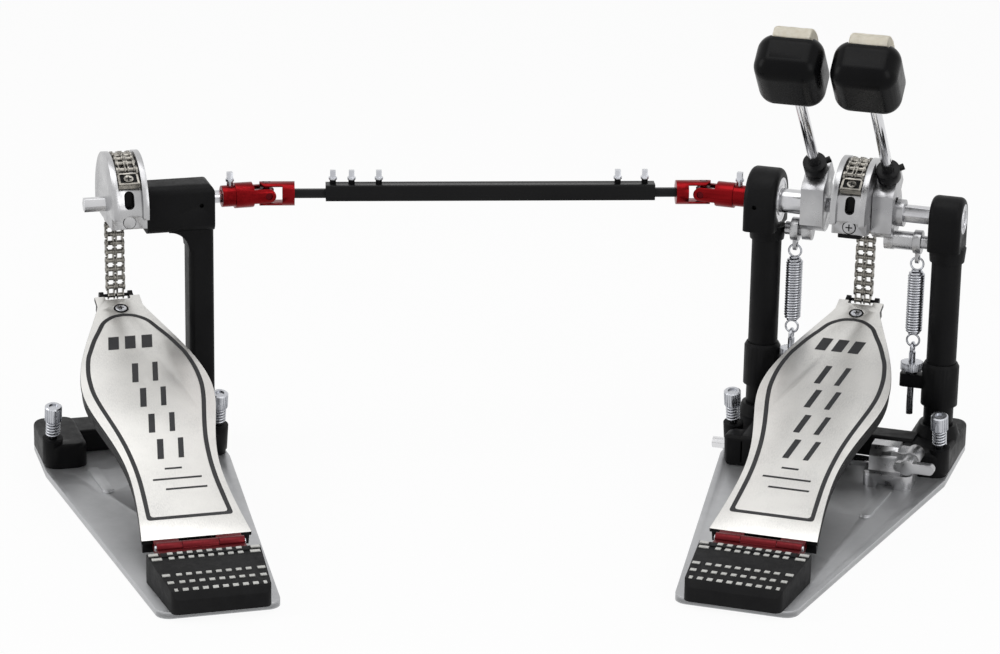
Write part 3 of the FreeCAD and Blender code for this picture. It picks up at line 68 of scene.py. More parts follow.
MAIN = pedal_frame("right_beater_swing")
SLAVE = pedal_frame("slave_axle_turn")
AXLE = 179.0 * MM
CHAIN_CIRCLE = 33.0 * MM
CLASP_TURN = math.radians(121.7)      # round the axle from the front to the chain's last pin
BEATER_LEAN = math.radians(43)
BEATER_FOOT = 17 * MM                 # axle to the foot of a beater's rod
BEATER_REACH = 143 * MM               # that foot to the middle of the head
SPUR_TILT = math.radians(14)
SHAFT_YAW = math.radians(22.2)        # the drive shaft's turn from the main pedal's X
BOARD_SLOPE = math.radians(16.4)
BOARD_HEEL = Vector((0, -242.38, 25.06)) * MM
BOARD = Matrix.Translation(BOARD_HEEL) @ Matrix.Rotation(BOARD_SLOPE, 4, "X")
HEEL_TOP = Matrix.Translation(Vector((0, -262.1, 23.6)) * MM) @ Matrix.Rotation(math.radians(4.88), 4, "X")


def shaft_frame():
    """The drive shaft's frame, at the main universal joint, with X toward the main pedal."""
    x = -Vector(joints["drive_tube_turn"]["axis"])
    z = Vector((0, 0, 1))
    turn = Matrix((x, z.cross(x), z)).transposed().to_4x4()
    return Matrix.Translation(Vector(joints["drive_tube_turn"]["pos_m"])) @ turn


SHAFT = shaft_frame()


def beater_frame(rod_x):
    """A beater's frame, at the middle of its head, with Z out along the rod and Y toward the drum."""
    cosine, sine = math.cos(BEATER_LEAN), math.sin(BEATER_LEAN)
    foot = Vector((rod_x * MM, BEATER_FOOT * cosine, AXLE + BEATER_FOOT * sine))
    out = Vector((0, -sine, cosine))
    return Matrix.Translation(foot + out * BEATER_REACH) @ Matrix.Rotation(BEATER_LEAN, 4, "X")


def clasp_frame(pedal):
    """The chain clasp's frame on the cam, at its last pin, with Y onward and Z away from the axle."""
    radial = Vector((0, math.cos(CLASP_TURN), math.sin(CLASP_TURN)))
    onward = Vector((0, -math.sin(CLASP_TURN), math.cos(CLASP_TURN)))
    axes = Matrix((Vector((-1, 0, 0)), onward, radial)).transposed().to_4x4()
    return pedal @ Matrix.Translation(Vector((0, 0, AXLE)) + radial * CHAIN_CIRCLE) @ axes


def spur_frame(pedal, x):
    """A spur's frame, at the middle of its head's top, with Z up along it."""
    return pedal @ at(x, -44.7, 50) @ Matrix.Rotation(SPUR_TILT, 4, "X")


# ------------------------------------------------------------------ modelling helpers
def deselect():
    for piece in list(bpy.context.selected_objects):
        piece.select_set(False)


def only(piece):
    deselect()
    piece.select_set(True)
    bpy.context.view_layer.objects.active = piece
    return piece


def named(name):
    piece = bpy.context.active_object
    piece.name = name
    piece.data.name = name
    return piece


def cube(name, low, high):
    """A box from its corners, in millimetres."""
    deselect()
    size = [(b - a) * MM for a, b in zip(low, high)]
    middle = [(a + b) / 2 * MM for a, b in zip(low, high)]
    bpy.ops.mesh.primitive_cube_add(size=1, location=middle)
    piece = named(name)
    piece.scale = size
    bpy.ops.object.transform_apply(location=True, rotation=True, scale=True)
    return piece


AIM = {"X": (0, math.pi / 2, 0), "Y": (-math.pi / 2, 0, 0), "Z": (0, 0, 0)}


def rod(name, radius, low, high, at, axis="Z", sides=32):
    """A cylinder along one axis from low to high, in millimetres. at gives its other two coordinates."""
    deselect()
    middle = (low + high) / 2
    place = {"X": (middle, at[0], at[1]), "Y": (at[0], middle, at[1]), "Z": (at[0], at[1], middle)}[axis]
    bpy.ops.mesh.primitive_cylinder_add(
        vertices=sides, radius=radius * MM, depth=(high - low) * MM,
        location=[value * MM for value in place], rotation=AIM[axis])
    piece = named(name)
    bpy.ops.object.transform_apply(location=True, rotation=True, scale=True)
    return piece


def pick_faces(piece, test):
    """Goes into edit mode with the faces that test(centre, normal), in millimetres, says."""
    only(piece)
    bpy.ops.object.mode_set(mode="EDIT")
    bpy.ops.mesh.select_mode(type="FACE")
    bpy.ops.mesh.select_all(action="DESELECT")
    bpy.ops.object.mode_set(mode="OBJECT")
    for face in piece.data.polygons:
        face.select = bool(test(face.center / MM, face.normal))
    bpy.ops.object.mode_set(mode="EDIT")


def leave():
    bpy.ops.object.mode_set(mode="OBJECT")


def inset(piece, test, thickness, depth=0.0):
    """Insets the picked faces, and pushes them out or in by depth, in millimetres."""
    pick_faces(piece, test)
    bpy.ops.mesh.inset(thickness=thickness * MM, depth=depth * MM)
    leave()
    return piece


def inset_each(piece, test, thickness, depth=0.0):
    pick_faces(piece, test)
    bpy.ops.mesh.inset(thickness=thickness * MM, depth=depth * MM, use_individual=True)
    leave()
    return piece


def soften(piece, width, segments=2, angle=30.0):
    """Rounds the edges that are sharper than angle, in millimetres, and shades the rest smooth."""
    only(piece)
    bevel = piece.modifiers.new("rounded", "BEVEL")
    bevel.width = width * MM
    bevel.segments = segments
    bevel.limit_method = "ANGLE"
    bevel.angle_limit = math.radians(angle)
    bevel.use_clamp_overlap = True
    bevel.miter_outer = "MITER_ARC"
    bpy.ops.object.modifier_apply(modifier=bevel.name)
    bpy.ops.object.shade_smooth_by_angle(angle=math.radians(35))
    return piece


def smooth(piece, degrees=35):
    only(piece)
    bpy.ops.object.shade_smooth_by_angle(angle=math.radians(degrees))
    return piece


def joined(name, pieces):
    deselect()
    for piece in pieces:
        piece.select_set(True)
    bpy.context.view_layer.objects.active = pieces[0]
    bpy.ops.object.join()
    return named(name)


def moved(piece, matrix):
    """Puts a piece that was made in its own frame where it belongs, with its place in its mesh."""
    piece.data.transform(matrix)
    piece.data.update()
    return piece


def at(x, y, z):
    return Matrix.Translation(Vector((x, y, z)) * MM)


def finish_piece(piece, body, surface, replaces=()):
    """Gives the piece its surface and its body, and hides the CAD nodes that it stands for."""
    if surface is not None:
        piece.data.materials.clear()
        piece.data.materials.append(surface)
    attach(piece, body)
    if replaces:
        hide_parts(*replaces)
    return piece


# ------------------------------------------------------------------ shader groups
def new_group(name, inputs, outputs):
    """A shader node group with named sockets, and its two end nodes."""
    tree = bpy.data.node_groups.new(name, "ShaderNodeTree")
    kinds = {"value": "NodeSocketFloat", "vector": "NodeSocketVector", "colour": "NodeSocketColor"}
    for label, kind, value in inputs:
        socket = tree.interface.new_socket(label, in_out="INPUT", socket_type=kinds[kind])
        if value is not None:
            socket.default_value = value
    for label, kind in outputs:
        tree.interface.new_socket(label, in_out="OUTPUT", socket_type=kinds[kind])
    start = tree.nodes.new("NodeGroupInput")
    end = tree.nodes.new("NodeGroupOutput")
    start.location = (-900, 0)
    end.location = (700, 0)
    return tree, start, end


def add(tree, kind, place, **settings):
    node = tree.nodes.new(kind)
    node.location = place
    for key, value in settings.items():
        setattr(node, key, value)
    return node


def mix_colours(tree, place, factor, first, second):
    """A colour mix node. factor, first and second are sockets or values."""
    node = add(tree, "ShaderNodeMix", place, data_type="RGBA")
    for index, source in ((0, factor), (6, first), (7, second)):
        if isinstance(source, bpy.types.NodeSocket):
            tree.links.new(source, node.inputs[index])
        else:
            node.inputs[index].default_value = source
    return node.outputs[2]


def range_of(tree, place, source, low, high, from_low=0.0, from_high=1.0):
    """Maps a value's range onto low to high, which are sockets or numbers."""
    node = add(tree, "ShaderNodeMapRange", place)
    node.inputs["From Min"].default_value = from_low
    node.inputs["From Max"].default_value = from_high
    tree.links.new(source, node.inputs["Value"])
    for label, value in (("To Min", low), ("To Max", high)):
        if isinstance(value, bpy.types.NodeSocket):
            tree.links.new(value, node.inputs[label])
        else:
            node.inputs[label].default_value = value
    return node.outputs["Result"]


def noise(tree, place, vector, scale, detail=3.0, rough=0.55):
    node = add(tree, "ShaderNodeTexNoise", place)
    node.inputs["Detail"].default_value = detail
    node.inputs["Roughness"].default_value = rough
    tree.links.new(vector, node.inputs["Vector"])
    if isinstance(scale, bpy.types.NodeSocket):
        tree.links.new(scale, node.inputs["Scale"])
    else:
        node.inputs["Scale"].default_value = scale
    return node.outputs["Fac"]


def grain_group():
    """Fine grain: a height for the bump, and a pale-to-dark drift with handling marks in the roughness."""
    tree, start, end = new_group("fine_grain", [
        ("Position", "vector", None),
        ("Grain Scale", "value", 1800.0),
        ("Base", "colour", (0.5, 0.5, 0.5, 1)),
        ("Drift", "colour", (0.4, 0.4, 0.4, 1)),
        ("Smoothest", "value", 0.3),
        ("Roughest", "value", 0.5),
        ("Drift Scale", "value", 30.0),
    ], [("Colour", "colour"), ("Roughness", "value"), ("Height", "value")])
    position = start.outputs["Position"]
    grain = noise(tree, (-600, 200), position, start.outputs["Grain Scale"], 2.0)
    drift = noise(tree, (-600, -100), position, start.outputs["Drift Scale"], 4.0)
    smear = noise(tree, (-600, -400), position, 140.0, 5.0, 0.65)
    mask = range_of(tree, (-300, -100), drift, 0.0, 1.0, 0.35, 0.68)
    colour = mix_colours(tree, (0, 100), mask, start.outputs["Base"], start.outputs["Drift"])
    rough = range_of(tree, (0, -300), smear, start.outputs["Smoothest"], start.outputs["Roughest"], 0.3, 0.7)
    tree.links.new(colour, end.inputs["Colour"])
    tree.links.new(rough, end.inputs["Roughness"])
    tree.links.new(grain, end.inputs["Height"])
    return tree


def brushed_group():
    """Brushing lines along Y of the position it is given, with clouds where the polish varies."""
    tree, start, end = new_group("brushed_lines", [
        ("Position", "vector", None),
        ("Line Scale", "value", 900.0),
        ("Bright", "colour", (0.8, 0.8, 0.8, 1)),
        ("Dull", "colour", (0.6, 0.6, 0.6, 1)),
        ("Smoothest", "value", 0.25),
        ("Roughest", "value", 0.45),
    ], [("Colour", "colour"), ("Roughness", "value"), ("Height", "value")])
    stretch = add(tree, "ShaderNodeVectorMath", (-700, 150), operation="MULTIPLY")
    stretch.inputs[1].default_value = (1.0, 0.018, 1.0)
    tree.links.new(start.outputs["Position"], stretch.inputs[0])
    lines = noise(tree, (-450, 200), stretch.outputs["Vector"], start.outputs["Line Scale"], 3.0, 0.7)
    clouds = noise(tree, (-450, -150), start.outputs["Position"], 26.0, 4.0, 0.6)
    mask = range_of(tree, (-200, -150), clouds, 0.0, 1.0, 0.36, 0.66)
    streak = range_of(tree, (-200, 50), lines, 0.0, 1.0, 0.3, 0.72)
    both = add(tree, "ShaderNodeMath", (0, -50), operation="MULTIPLY")
    tree.links.new(mask, both.inputs[0])
    tree.links.new(streak, both.inputs[1])
    colour = mix_colours(tree, (200, 100), both.outputs[0], start.outputs["Bright"], start.outputs["Dull"])
    rough = range_of(tree, (200, -250), streak, start.outputs["Smoothest"], start.outputs["Roughest"])
    tree.links.new(colour, end.inputs["Colour"])
    tree.links.new(rough, end.inputs["Roughness"])
    tree.links.new(lines, end.inputs["Height"])
    return tree


def fibre_group():
    """Pressed felt: tangled fibres, with soft lumps under them."""
    tree, start, end = new_group("felt_fibres", [
        ("Position", "vector", None),
        ("Pale", "colour", (0.9, 0.85, 0.7, 1)),
        ("Deep", "colour", (0.7, 0.62, 0.5, 1)),
    ], [("Colour", "colour"), ("Height", "value")])
    position = start.outputs["Position"]
    fibres = add(tree, "ShaderNodeTexWave", (-500, 250), wave_type="BANDS")
    fibres.inputs["Scale"].default_value = 420.0
    fibres.inputs["Distortion"].default_value = 22.0
    fibres.inputs["Detail"].default_value = 4.0
    fibres.inputs["Detail Scale"].default_value = 3.0
    tree.links.new(position, fibres.inputs["Vector"])
    lumps = noise(tree, (-500, -50), position, 260.0, 5.0, 0.6)
    mask = range_of(tree, (-250, -50), lumps, 0.0, 1.0, 0.35, 0.7)
    colour = mix_colours(tree, (0, 100), mask, start.outputs["Pale"], start.outputs["Deep"])
    height = add(tree, "ShaderNodeMath", (0, -200), operation="ADD")
    tree.links.new(fibres.outputs["Fac"], height.inputs[0])
    tree.links.new(lumps, height.inputs[1])
    tree.links.new(colour, end.inputs["Colour"])
    tree.links.new(height.outputs[0], end.inputs["Height"])
    return tree


GRAIN = grain_group()
BRUSHED = brushed_group()
FIBRES = fibre_group()


def shade(r, g, b):
    return (r, g, b, 1.0)


def surface(name, group, values, metallic=0.0, bump=0.2, bump_depth=0.0001, turn=None, specular=0.5,
            roughness=None):
    """A material on object coordinates: one pattern group feeds colour, roughness and bump."""
    made = bpy.data.materials.new(name)
    made.use_nodes = True
    tree = made.node_tree
    shader = tree.nodes["Principled BSDF"]
    shader.inputs["Metallic"].default_value = metallic
    shader.inputs["Specular IOR Level"].default_value = specular
    place = add(tree, "ShaderNodeTexCoord", (-1100, 0)).outputs["Object"]
    if turn is not None:
        mapping = add(tree, "ShaderNodeMapping", (-900, 0))
        mapping.inputs["Rotation"].default_value = turn
        tree.links.new(place, mapping.inputs["Vector"])
        place = mapping.outputs["Vector"]
    pattern = add(tree, "ShaderNodeGroup", (-600, 0), node_tree=group)
    tree.links.new(place, pattern.inputs["Position"])
    for label, value in values.items():
        pattern.inputs[label].default_value = value
    tree.links.new(pattern.outputs["Colour"], shader.inputs["Base Color"])
    if roughness is None:
        tree.links.new(pattern.outputs["Roughness"], shader.inputs["Roughness"])
    else:
        shader.inputs["Roughness"].default_value = roughness
    bumps = add(tree, "ShaderNodeBump", (-250, -300))
    bumps.inputs["Strength"].default_value = bump
    bumps.inputs["Distance"].default_value = bump_depth
    tree.links.new(pattern.outputs["Height"], bumps.inputs["Height"])
    tree.links.new(bumps.outputs["Normal"], shader.inputs["Normal"])
    return made


def grainy(name, base, drift, smoothest, roughest, scale=1800.0, drift_scale=30.0, **rest):
    """A plain surface with fine grain, whose colour drifts between two near shades."""
    values = {"Base": base, "Drift": drift, "Smoothest": smoothest, "Roughest": roughest,
              "Grain Scale": scale, "Drift Scale": drift_scale}
    return surface(name, GRAIN, values, **rest)


def brushed(name, bright, dull, smoothest, roughest, scale=900.0, **rest):
    """A brushed metal, with its lines along Y before any turn."""
    values = {"Bright": bright, "Dull": dull, "Smoothest": smoothest, "Roughest": roughest,
              "Line Scale": scale}
    return surface(name, BRUSHED, values, **rest)


SLAVE_YAW = math.atan2(SLAVE[1][0], SLAVE[0][0])
PLATE_BRIGHT = shade(0.74, 0.73, 0.705)
PLATE_DULL = shade(0.58, 0.575, 0.56)

BLACK_POWDER = grainy(
    "black powder coat", shade(0.0030, 0.0030, 0.0034), shade(0.0055, 0.0055, 0.006), 0.40, 0.56,
    scale=1500, bump=0.5, bump_depth=0.00012, specular=0.10)
TRAY_BLACK = grainy(
    "satin black tray", shade(0.003, 0.003, 0.0033), shade(0.005, 0.005, 0.0055), 0.38, 0.52,
    scale=1900, bump=0.3, specular=0.10)
RUBBER = grainy(
    "heel rubber", shade(0.006, 0.006, 0.0065), shade(0.010, 0.010, 0.0105), 0.55, 0.72,
    scale=1200, bump=0.6, bump_depth=0.00015, specular=0.12)
SOLE_RUBBER = grainy(
    "sole rubber", shade(0.006, 0.006, 0.006), shade(0.010, 0.010, 0.010), 0.7, 0.85,
    scale=900, bump=0.6, specular=0.2)
RED = brushed(
    "red anodised", shade(0.19, 0.006, 0.008), shade(0.10, 0.003, 0.004), 0.24, 0.38, 700,
    metallic=1.0, bump=0.12, turn=(0, 0, math.radians(90)))
HINGE_RED = brushed(
    "dark red anodised", shade(0.13, 0.006, 0.010), shade(0.085, 0.004, 0.006), 0.36, 0.48, 700,
    metallic=0.8, bump=0.12)
MAIN_PLATE = brushed(
    "main brushed footboard", PLATE_BRIGHT, PLATE_DULL, 0.34, 0.50, 1500,
    metallic=1.0, bump=0.16, bump_depth=0.00005)
SLAVE_PLATE = brushed(
    "second brushed footboard", PLATE_BRIGHT, PLATE_DULL, 0.34, 0.50, 1500,
    metallic=1.0, bump=0.16, bump_depth=0.00005, turn=(0, 0, -SLAVE_YAW))
INK = grainy(
    "charcoal inlay", shade(0.016, 0.016, 0.018), shade(0.026, 0.026, 0.028), 0.42, 0.58,
    scale=2200, bump=0.25, specular=0.3)
CAST = grainy(
    "satin cast aluminium", shade(0.47, 0.47, 0.475), shade(0.34, 0.34, 0.35), 0.22, 0.42,
    scale=1300, bump=0.28, bump_depth=0.00008, metallic=1.0)
BASE_GREY = grainy(
    "grey base plate", shade(0.47, 0.475, 0.485), shade(0.39, 0.395, 0.405), 0.36, 0.48,
    scale=1600, drift_scale=14, bump=0.22, metallic=0.8)
STEEL = grainy(
    "turned steel", shade(0.60, 0.60, 0.61), shade(0.48, 0.48, 0.50), 0.16, 0.28,
    scale=1000, bump=0.08, metallic=1.0)
ZINC = grainy(
    "zinc plated steel", shade(0.56, 0.57, 0.60), shade(0.43, 0.44, 0.47), 0.20, 0.34,
    scale=1500, bump=0.15, metallic=1.0)
CHAIN_METAL = grainy(
    "nickel chain", shade(0.32, 0.305, 0.275), shade(0.17, 0.162, 0.148), 0.22, 0.40,
    scale=1500, drift_scale=220, bump=0.2, metallic=1.0)
CHROME = grainy(
    "chrome", shade(0.72, 0.72, 0.73), shade(0.66, 0.66, 0.675), 0.08, 0.14,
    scale=120, bump=0.001, bump_depth=0.00001, metallic=1.0)
BLACK_OXIDE = brushed(
    "black oxide steel", shade(0.0035, 0.0035, 0.004), shade(0.007, 0.007, 0.0075), 0.30, 0.44, 900,
    bump=0.12, specular=0.14, turn=(0, 0, math.radians(90) - SHAFT_YAW))
DARK_RED_STEEL = grainy(
    "dark red joint cross", shade(0.10, 0.003, 0.006), shade(0.06, 0.002, 0.004), 0.3, 0.45,
    scale=1500, bump=0.15, metallic=0.9)
BEATER_BLACK = grainy(
    "beater plastic", shade(0.0020, 0.0020, 0.0024), shade(0.0036, 0.0036, 0.0040), 0.22, 0.34,
    scale=300, bump=0.02, bump_depth=0.00005, specular=0.08)
FELT = surface(
    "pressed felt", FIBRES, {"Pale": shade(0.94, 0.89, 0.77), "Deep": shade(0.84, 0.78, 0.64)},
    bump=0.7, bump_depth=0.0004, specular=0.1, roughness=0.95)
SILVER_MARK = grainy(
    "pale inlay", shade(0.60, 0.60, 0.575), shade(0.46, 0.46, 0.44), 0.35, 0.50,
    scale=1800, bump=0.2, metallic=0.3)
# Painted shade: a near-black for the pieces that stand for the shade in slots, recesses and the gaps round
# screw heads.
PAINTED_SHADE = grainy(
    "painted recess shade", shade(0.004, 0.004, 0.004), shade(0.007, 0.007, 0.007), 0.6, 0.8,
    scale=900, bump=0.1, specular=0.15)


# ------------------------------------------------------------------ CAD shapes with rounded edges
def merged_copy(node):
    """A copy of a CAD node's mesh with its points merged and its flat faces whole."""
    piece = bpy.data.objects.new(node + "_finished", nodes[node].data.copy())
    bpy.context.scene.collection.objects.link(piece)
    only(piece)
    bpy.ops.object.mode_set(mode="EDIT")
    bpy.ops.mesh.select_all(action="SELECT")
    bpy.ops.mesh.remove_doubles(threshold=0.00001)
    bpy.ops.mesh.dissolve_limited(angle_limit=math.radians(0.8))
    bpy.ops.mesh.select_all(action="DESELECT")
    leave()
    return piece


def shells(piece):
    """Parts a piece into its separate closed shapes."""
    only(piece)
    bpy.ops.object.mode_set(mode="EDIT")
    bpy.ops.mesh.select_all(action="SELECT")
    bpy.ops.mesh.separate(type="LOOSE")
    leave()
    return list(bpy.context.selected_objects)


def middle_and_size(piece):
    """A piece's middle and its size along the axes, in millimetres."""
    corners = [Vector(corner) / MM for corner in piece.bound_box]
    low = Vector([min(c[i] for c in corners) for i in range(3)])
    high = Vector([max(c[i] for c in corners) for i in range(3)])
    return (low + high) / 2, high - low


def rounded_node(node, body, material, slot, width=0.5, others=(), segments=2, angle=32.0):
    """A rounded copy that stands for a CAD node. others are its shapes with a surface of their own: a name,
    a surface, a slot and a test of middle and size."""
    piece = merged_copy(node)
    if width:
        soften(piece, width, segments, angle)
    else:
        smooth(piece)
    groups = {}
    for shell in (shells(piece) if others else [piece]):
        middle, size = middle_and_size(shell)
        found = [other for other in others if other[3](middle, size)]
        key = found[0][:3] if found else (node + "_finished", material, slot)
        groups.setdefault(key, []).append(shell)
    for (name, paint, paint_slot), members in groups.items():
        whole = joined(name, members) if len(members) > 1 else members[0]
        whole.name = name
        finish_piece(whole, body, paint, (node,))
        if node in PAINTED and name == node + "_finished":
            paint_faces(whole, *PAINTED[node])


# Which separate shapes of a node have a surface of their own, by their middle and size in millimetres.
def small(middle, size):
    return max(size) < 12.5


def flat_low(middle, size):
    return middle.z < 2


def pin_like(middle, size):
    return size.z < 5


def narrow(middle, size):
    return size.x < 12


def shallow(middle, size):
    return size.z < 10


def long_across(middle, size):
    return size.x > 60


def screws_of(node):
    """The small shapes of a node, as its screws."""
    return ((node + "_screws", ZINC, "steel", small),)


# Faces of a node with another surface: a frame, the surface, and which faces, by middle and normal in it.
PAINTED = {
    "drive_tube": (SHAFT, ZINC, lambda c, n: c.z > 7.3),
    "main_drive_rod": (SHAFT, BLACK_OXIDE, lambda c, n: c.x < -19.8),
    "slave_drive_rod": (SHAFT, BLACK_OXIDE, lambda c, n: c.x > -286.0),
}
for pedal_name, pedal in (("main", MAIN), ("slave", SLAVE)):
    PAINTED[pedal_name + "_footboard_tray"] = (
        pedal @ BOARD, HINGE_RED, lambda c, n: c.y < 1.0 and abs(c.x) < 28.7)
    PAINTED[pedal_name + "_footboard_plate"] = (pedal @ BOARD, TRAY_BLACK, lambda c, n: abs(n.z) < 0.4)


def paint_faces(piece, place, surface, test):
    """Gives another surface to the faces that test(middle in millimetres, normal), in the frame, says."""
    piece.data.materials.append(surface)
    back = place.inverted()
    for face in piece.data.polygons:
        if test((back @ face.center) / MM, back.to_3x3() @ face.normal):
            face.material_index = len(piece.data.materials) - 1


# Each CAD node's body, surface, slot, rounding in millimetres and shapes with a surface of their own.
FINISHES = [
    ("main_base_casting", "main_frame", BLACK_POWDER, "black_casting", 1.2, ()),
    ("main_posts", "main_frame", BLACK_POWDER, "black_casting", 0.3, ()),
    ("main_left_housing", "main_frame", BLACK_POWDER, "black_casting", 1.6, ()),
    ("main_right_housing", "main_frame", BLACK_POWDER, "black_casting", 1.6, ()),
    ("main_bearings", "main_frame", STEEL, "steel", 0.25, ()),
    ("main_heel_block", "main_frame", RUBBER, "heel_rubber", 2.2, ()),
    ("main_heel_hinge", "main_frame", HINGE_RED, "red_anodised", 0.3,
     (("main_hinge_pin", ZINC, "steel", pin_like),)),
    ("clamp_foot", "main_frame", CAST, "cast_aluminium", 1.6,
     (("clamp_rod_finished", CHROME, "chrome", long_across),)),
    ("clamp_jaw", "clamp_jaw", BLACK_POWDER, "black_casting", 1.0, ()),
    ("clamp_wing", "clamp_wing", CAST, "cast_aluminium", 2.0, ()),
    ("main_footboard_tray", "main_footboard", TRAY_BLACK, "black_tray", 0.5, ()),
    ("main_cam", "main_axle", CAST, "cast_aluminium", 0.6,
     (("main_cam_screw", STEEL, "steel", shallow),)),
    ("right_hub", "main_axle", CAST, "cast_aluminium", 0.8, ()),
    ("main_axle", "main_axle", STEEL, "steel", 0.25, ()),
    ("left_shaft", "left_shaft", STEEL, "steel", 0.25, ()),
    ("left_hub", "left_shaft", CAST, "cast_aluminium", 0.8, ()),
    ("main_outer_yoke", "left_shaft", RED, "red_anodised", 0.5, screws_of("main_outer_yoke")),
    ("main_cross", "main_cross", DARK_RED_STEEL, "red_anodised", 0.3, ()),
    ("main_drive_rod", "drive_tube", RED, "red_anodised", 0.4, ()),
    ("drive_tube", "drive_tube", BLACK_OXIDE, "black_steel", 0.5, ()),
    ("slave_drive_rod", "slave_rod", RED, "red_anodised", 0.4, ()),
    ("slave_cross", "slave_cross", DARK_RED_STEEL, "red_anodised", 0.3, ()),
    ("slave_outer_yoke", "slave_axle", RED, "red_anodised", 0.5, screws_of("slave_outer_yoke")),
    ("slave_axle", "slave_axle", STEEL, "steel", 0.25, ()),
    ("slave_cam", "slave_axle", CAST, "cast_aluminium", 0.6,
     (("slave_cam_screw", STEEL, "steel", shallow),)),
    ("slave_base_casting", "slave_frame", BLACK_POWDER, "black_casting", 1.2, ()),
    ("slave_heel_block", "slave_frame", RUBBER, "heel_rubber", 2.2, ()),
    ("slave_heel_hinge", "slave_frame", HINGE_RED, "red_anodised", 0.3,
     (("slave_hinge_pin", ZINC, "steel", pin_like),)),
    ("slave_footboard_tray", "slave_footboard", TRAY_BLACK, "black_tray", 0.5, ()),
    ("right_rocker", "right_rocker", CAST, "cast_aluminium", 0.4, ()),
    ("left_rocker", "left_rocker", CAST, "cast_aluminium", 0.4, ()),
    ("spring_brackets", "main_frame", BLACK_POWDER, "black_casting", 0.8,
     (("eyebolts_finished", ZINC, "steel", narrow),)),
    ("main_base_plate", "main_frame", BASE_GREY, "base_metal", 0.5,
     (("main_sole", SOLE_RUBBER, "heel_rubber", flat_low),)),
    ("slave_base_plate", "slave_frame", BASE_GREY, "base_metal", 0.5,
     (("slave_sole", SOLE_RUBBER, "heel_rubber", flat_low),)),
    ("main_footboard_plate", "main_footboard", MAIN_PLATE, "brushed_plate", 0.4,
     (("main_toe_screw", ZINC, "steel", narrow),)),
    ("slave_footboard_plate", "slave_footboard", SLAVE_PLATE, "brushed_plate", 0.4,
     (("slave_toe_screw", ZINC, "steel", small),)),
    ("right_memory_collar", "right_beater", BLACK_OXIDE, "black_steel", 0.5, ()),
    ("left_memory_collar", "left_beater", BLACK_OXIDE, "black_steel", 0.5, ()),
    ("right_beater_head", "right_beater", BEATER_BLACK, "beater_plastic", 0, ()),
    ("left_beater_head", "left_beater", BEATER_BLACK, "beater_plastic", 0, ()),
    ("right_beater_rod", "right_beater", CHROME, "chrome", 0.4, ()),
    ("left_beater_rod", "left_beater", CHROME, "chrome", 0.4, ()),
    ("right_tension_nut", "right_tension_nut", ZINC, "steel", 0.15, ()),
    ("left_tension_nut", "left_tension_nut", ZINC, "steel", 0.15, ()),
    ("main_left_spur", "main_left_spur", ZINC, "steel", 0.3, ()),
    ("main_right_spur", "main_right_spur", ZINC, "steel", 0.3, ()),
    ("slave_left_spur", "slave_left_spur", ZINC, "steel", 0.3, ()),
    ("slave_right_spur", "slave_right_spur", ZINC, "steel", 0.3, ()),
]
for node, body, material, slot, width, others in FINISHES:
    rounded_node(node, body, material, slot, width, others)
for pedal, axle_body in (("main", "main_axle"), ("slave", "slave_axle")):
    for part, body in (("chain_run", pedal + "_chain_run"), ("chain_pair_1", pedal + "_chain_pair_1"),
                       ("chain_pair_2", pedal + "_chain_pair_2"), ("chain_wrap", axle_body)):
        rounded_node(pedal + "_" + part, body, CHAIN_METAL, "nickel_chain", 0)


# ------------------------------------------------------------------ felts
FELT_CELL = 0.9 * MM
FELT_END = 16.0          # millimetres from the middle to where the end face's dish starts
FELT_DISH = 1.5
FELT_HALF = 14.5
FELT_NARROWING = 0.86


def beater_felt(side, rod_x):
    """The pressed felt in a beater head: rounded, dished at its ends, with a slightly uneven face."""
    felt = merged_copy(side + "_beater_felt")
    soften(felt, 1.6, 3)
    cells = felt.modifiers.new("cells", "REMESH")
    cells.mode = "VOXEL"
    cells.voxel_size = FELT_CELL
    bpy.ops.object.modifier_apply(modifier=cells.name)
    tufts = bpy.data.textures.new(side + "_tufts", "CLOUDS")
    tufts.noise_scale = 5.0 * MM
    uneven = felt.modifiers.new("uneven", "DISPLACE")
    uneven.texture = tufts
    uneven.strength = 0.5 * MM
    uneven.mid_level = 0.6
    bpy.ops.object.modifier_apply(modifier=uneven.name)
    bpy.ops.object.shade_smooth()
    place = beater_frame(rod_x)
    moved(felt, place.inverted())
    for vertex in felt.data.vertices:
        x, y, z = vertex.co / MM
        end = min(1.0, max(0.0, (abs(z) - FELT_END) / 5))
        z -= math.copysign(FELT_DISH * end * (1 - min(1.0, (x / FELT_HALF) ** 2)), z)
        vertex.co = Vector((x * (FELT_NARROWING + 0.03 * end), y, z)) * MM
    moved(felt, place)
    return finish_piece(felt, side + "_beater", FELT, (side + "_beater_felt",))


beater_felt("right", 20.7)
beater_felt("left", -31.0)


# ------------------------------------------------------------------ inlays on the footboards and heel blocks
def through(points, steps=8):
    """A smooth line through the points."""
    line = []
    ends = [points[0]] + list(points) + [points[-1]]
    for a, b, c, d in zip(ends, ends[1:], ends[2:], ends[3:]):
        for step in range(steps):
            t = step / steps
            line.append(tuple(
                0.5 * (2 * q + (r - p) * t
                       + (2 * p - 5 * q + 4 * r - u) * t * t
                       + (3 * q - p - 3 * r + u) * t ** 3)
                for p, q, r, u in zip(a, b, c, d)))
    line.append(tuple(points[-1]))
    return line


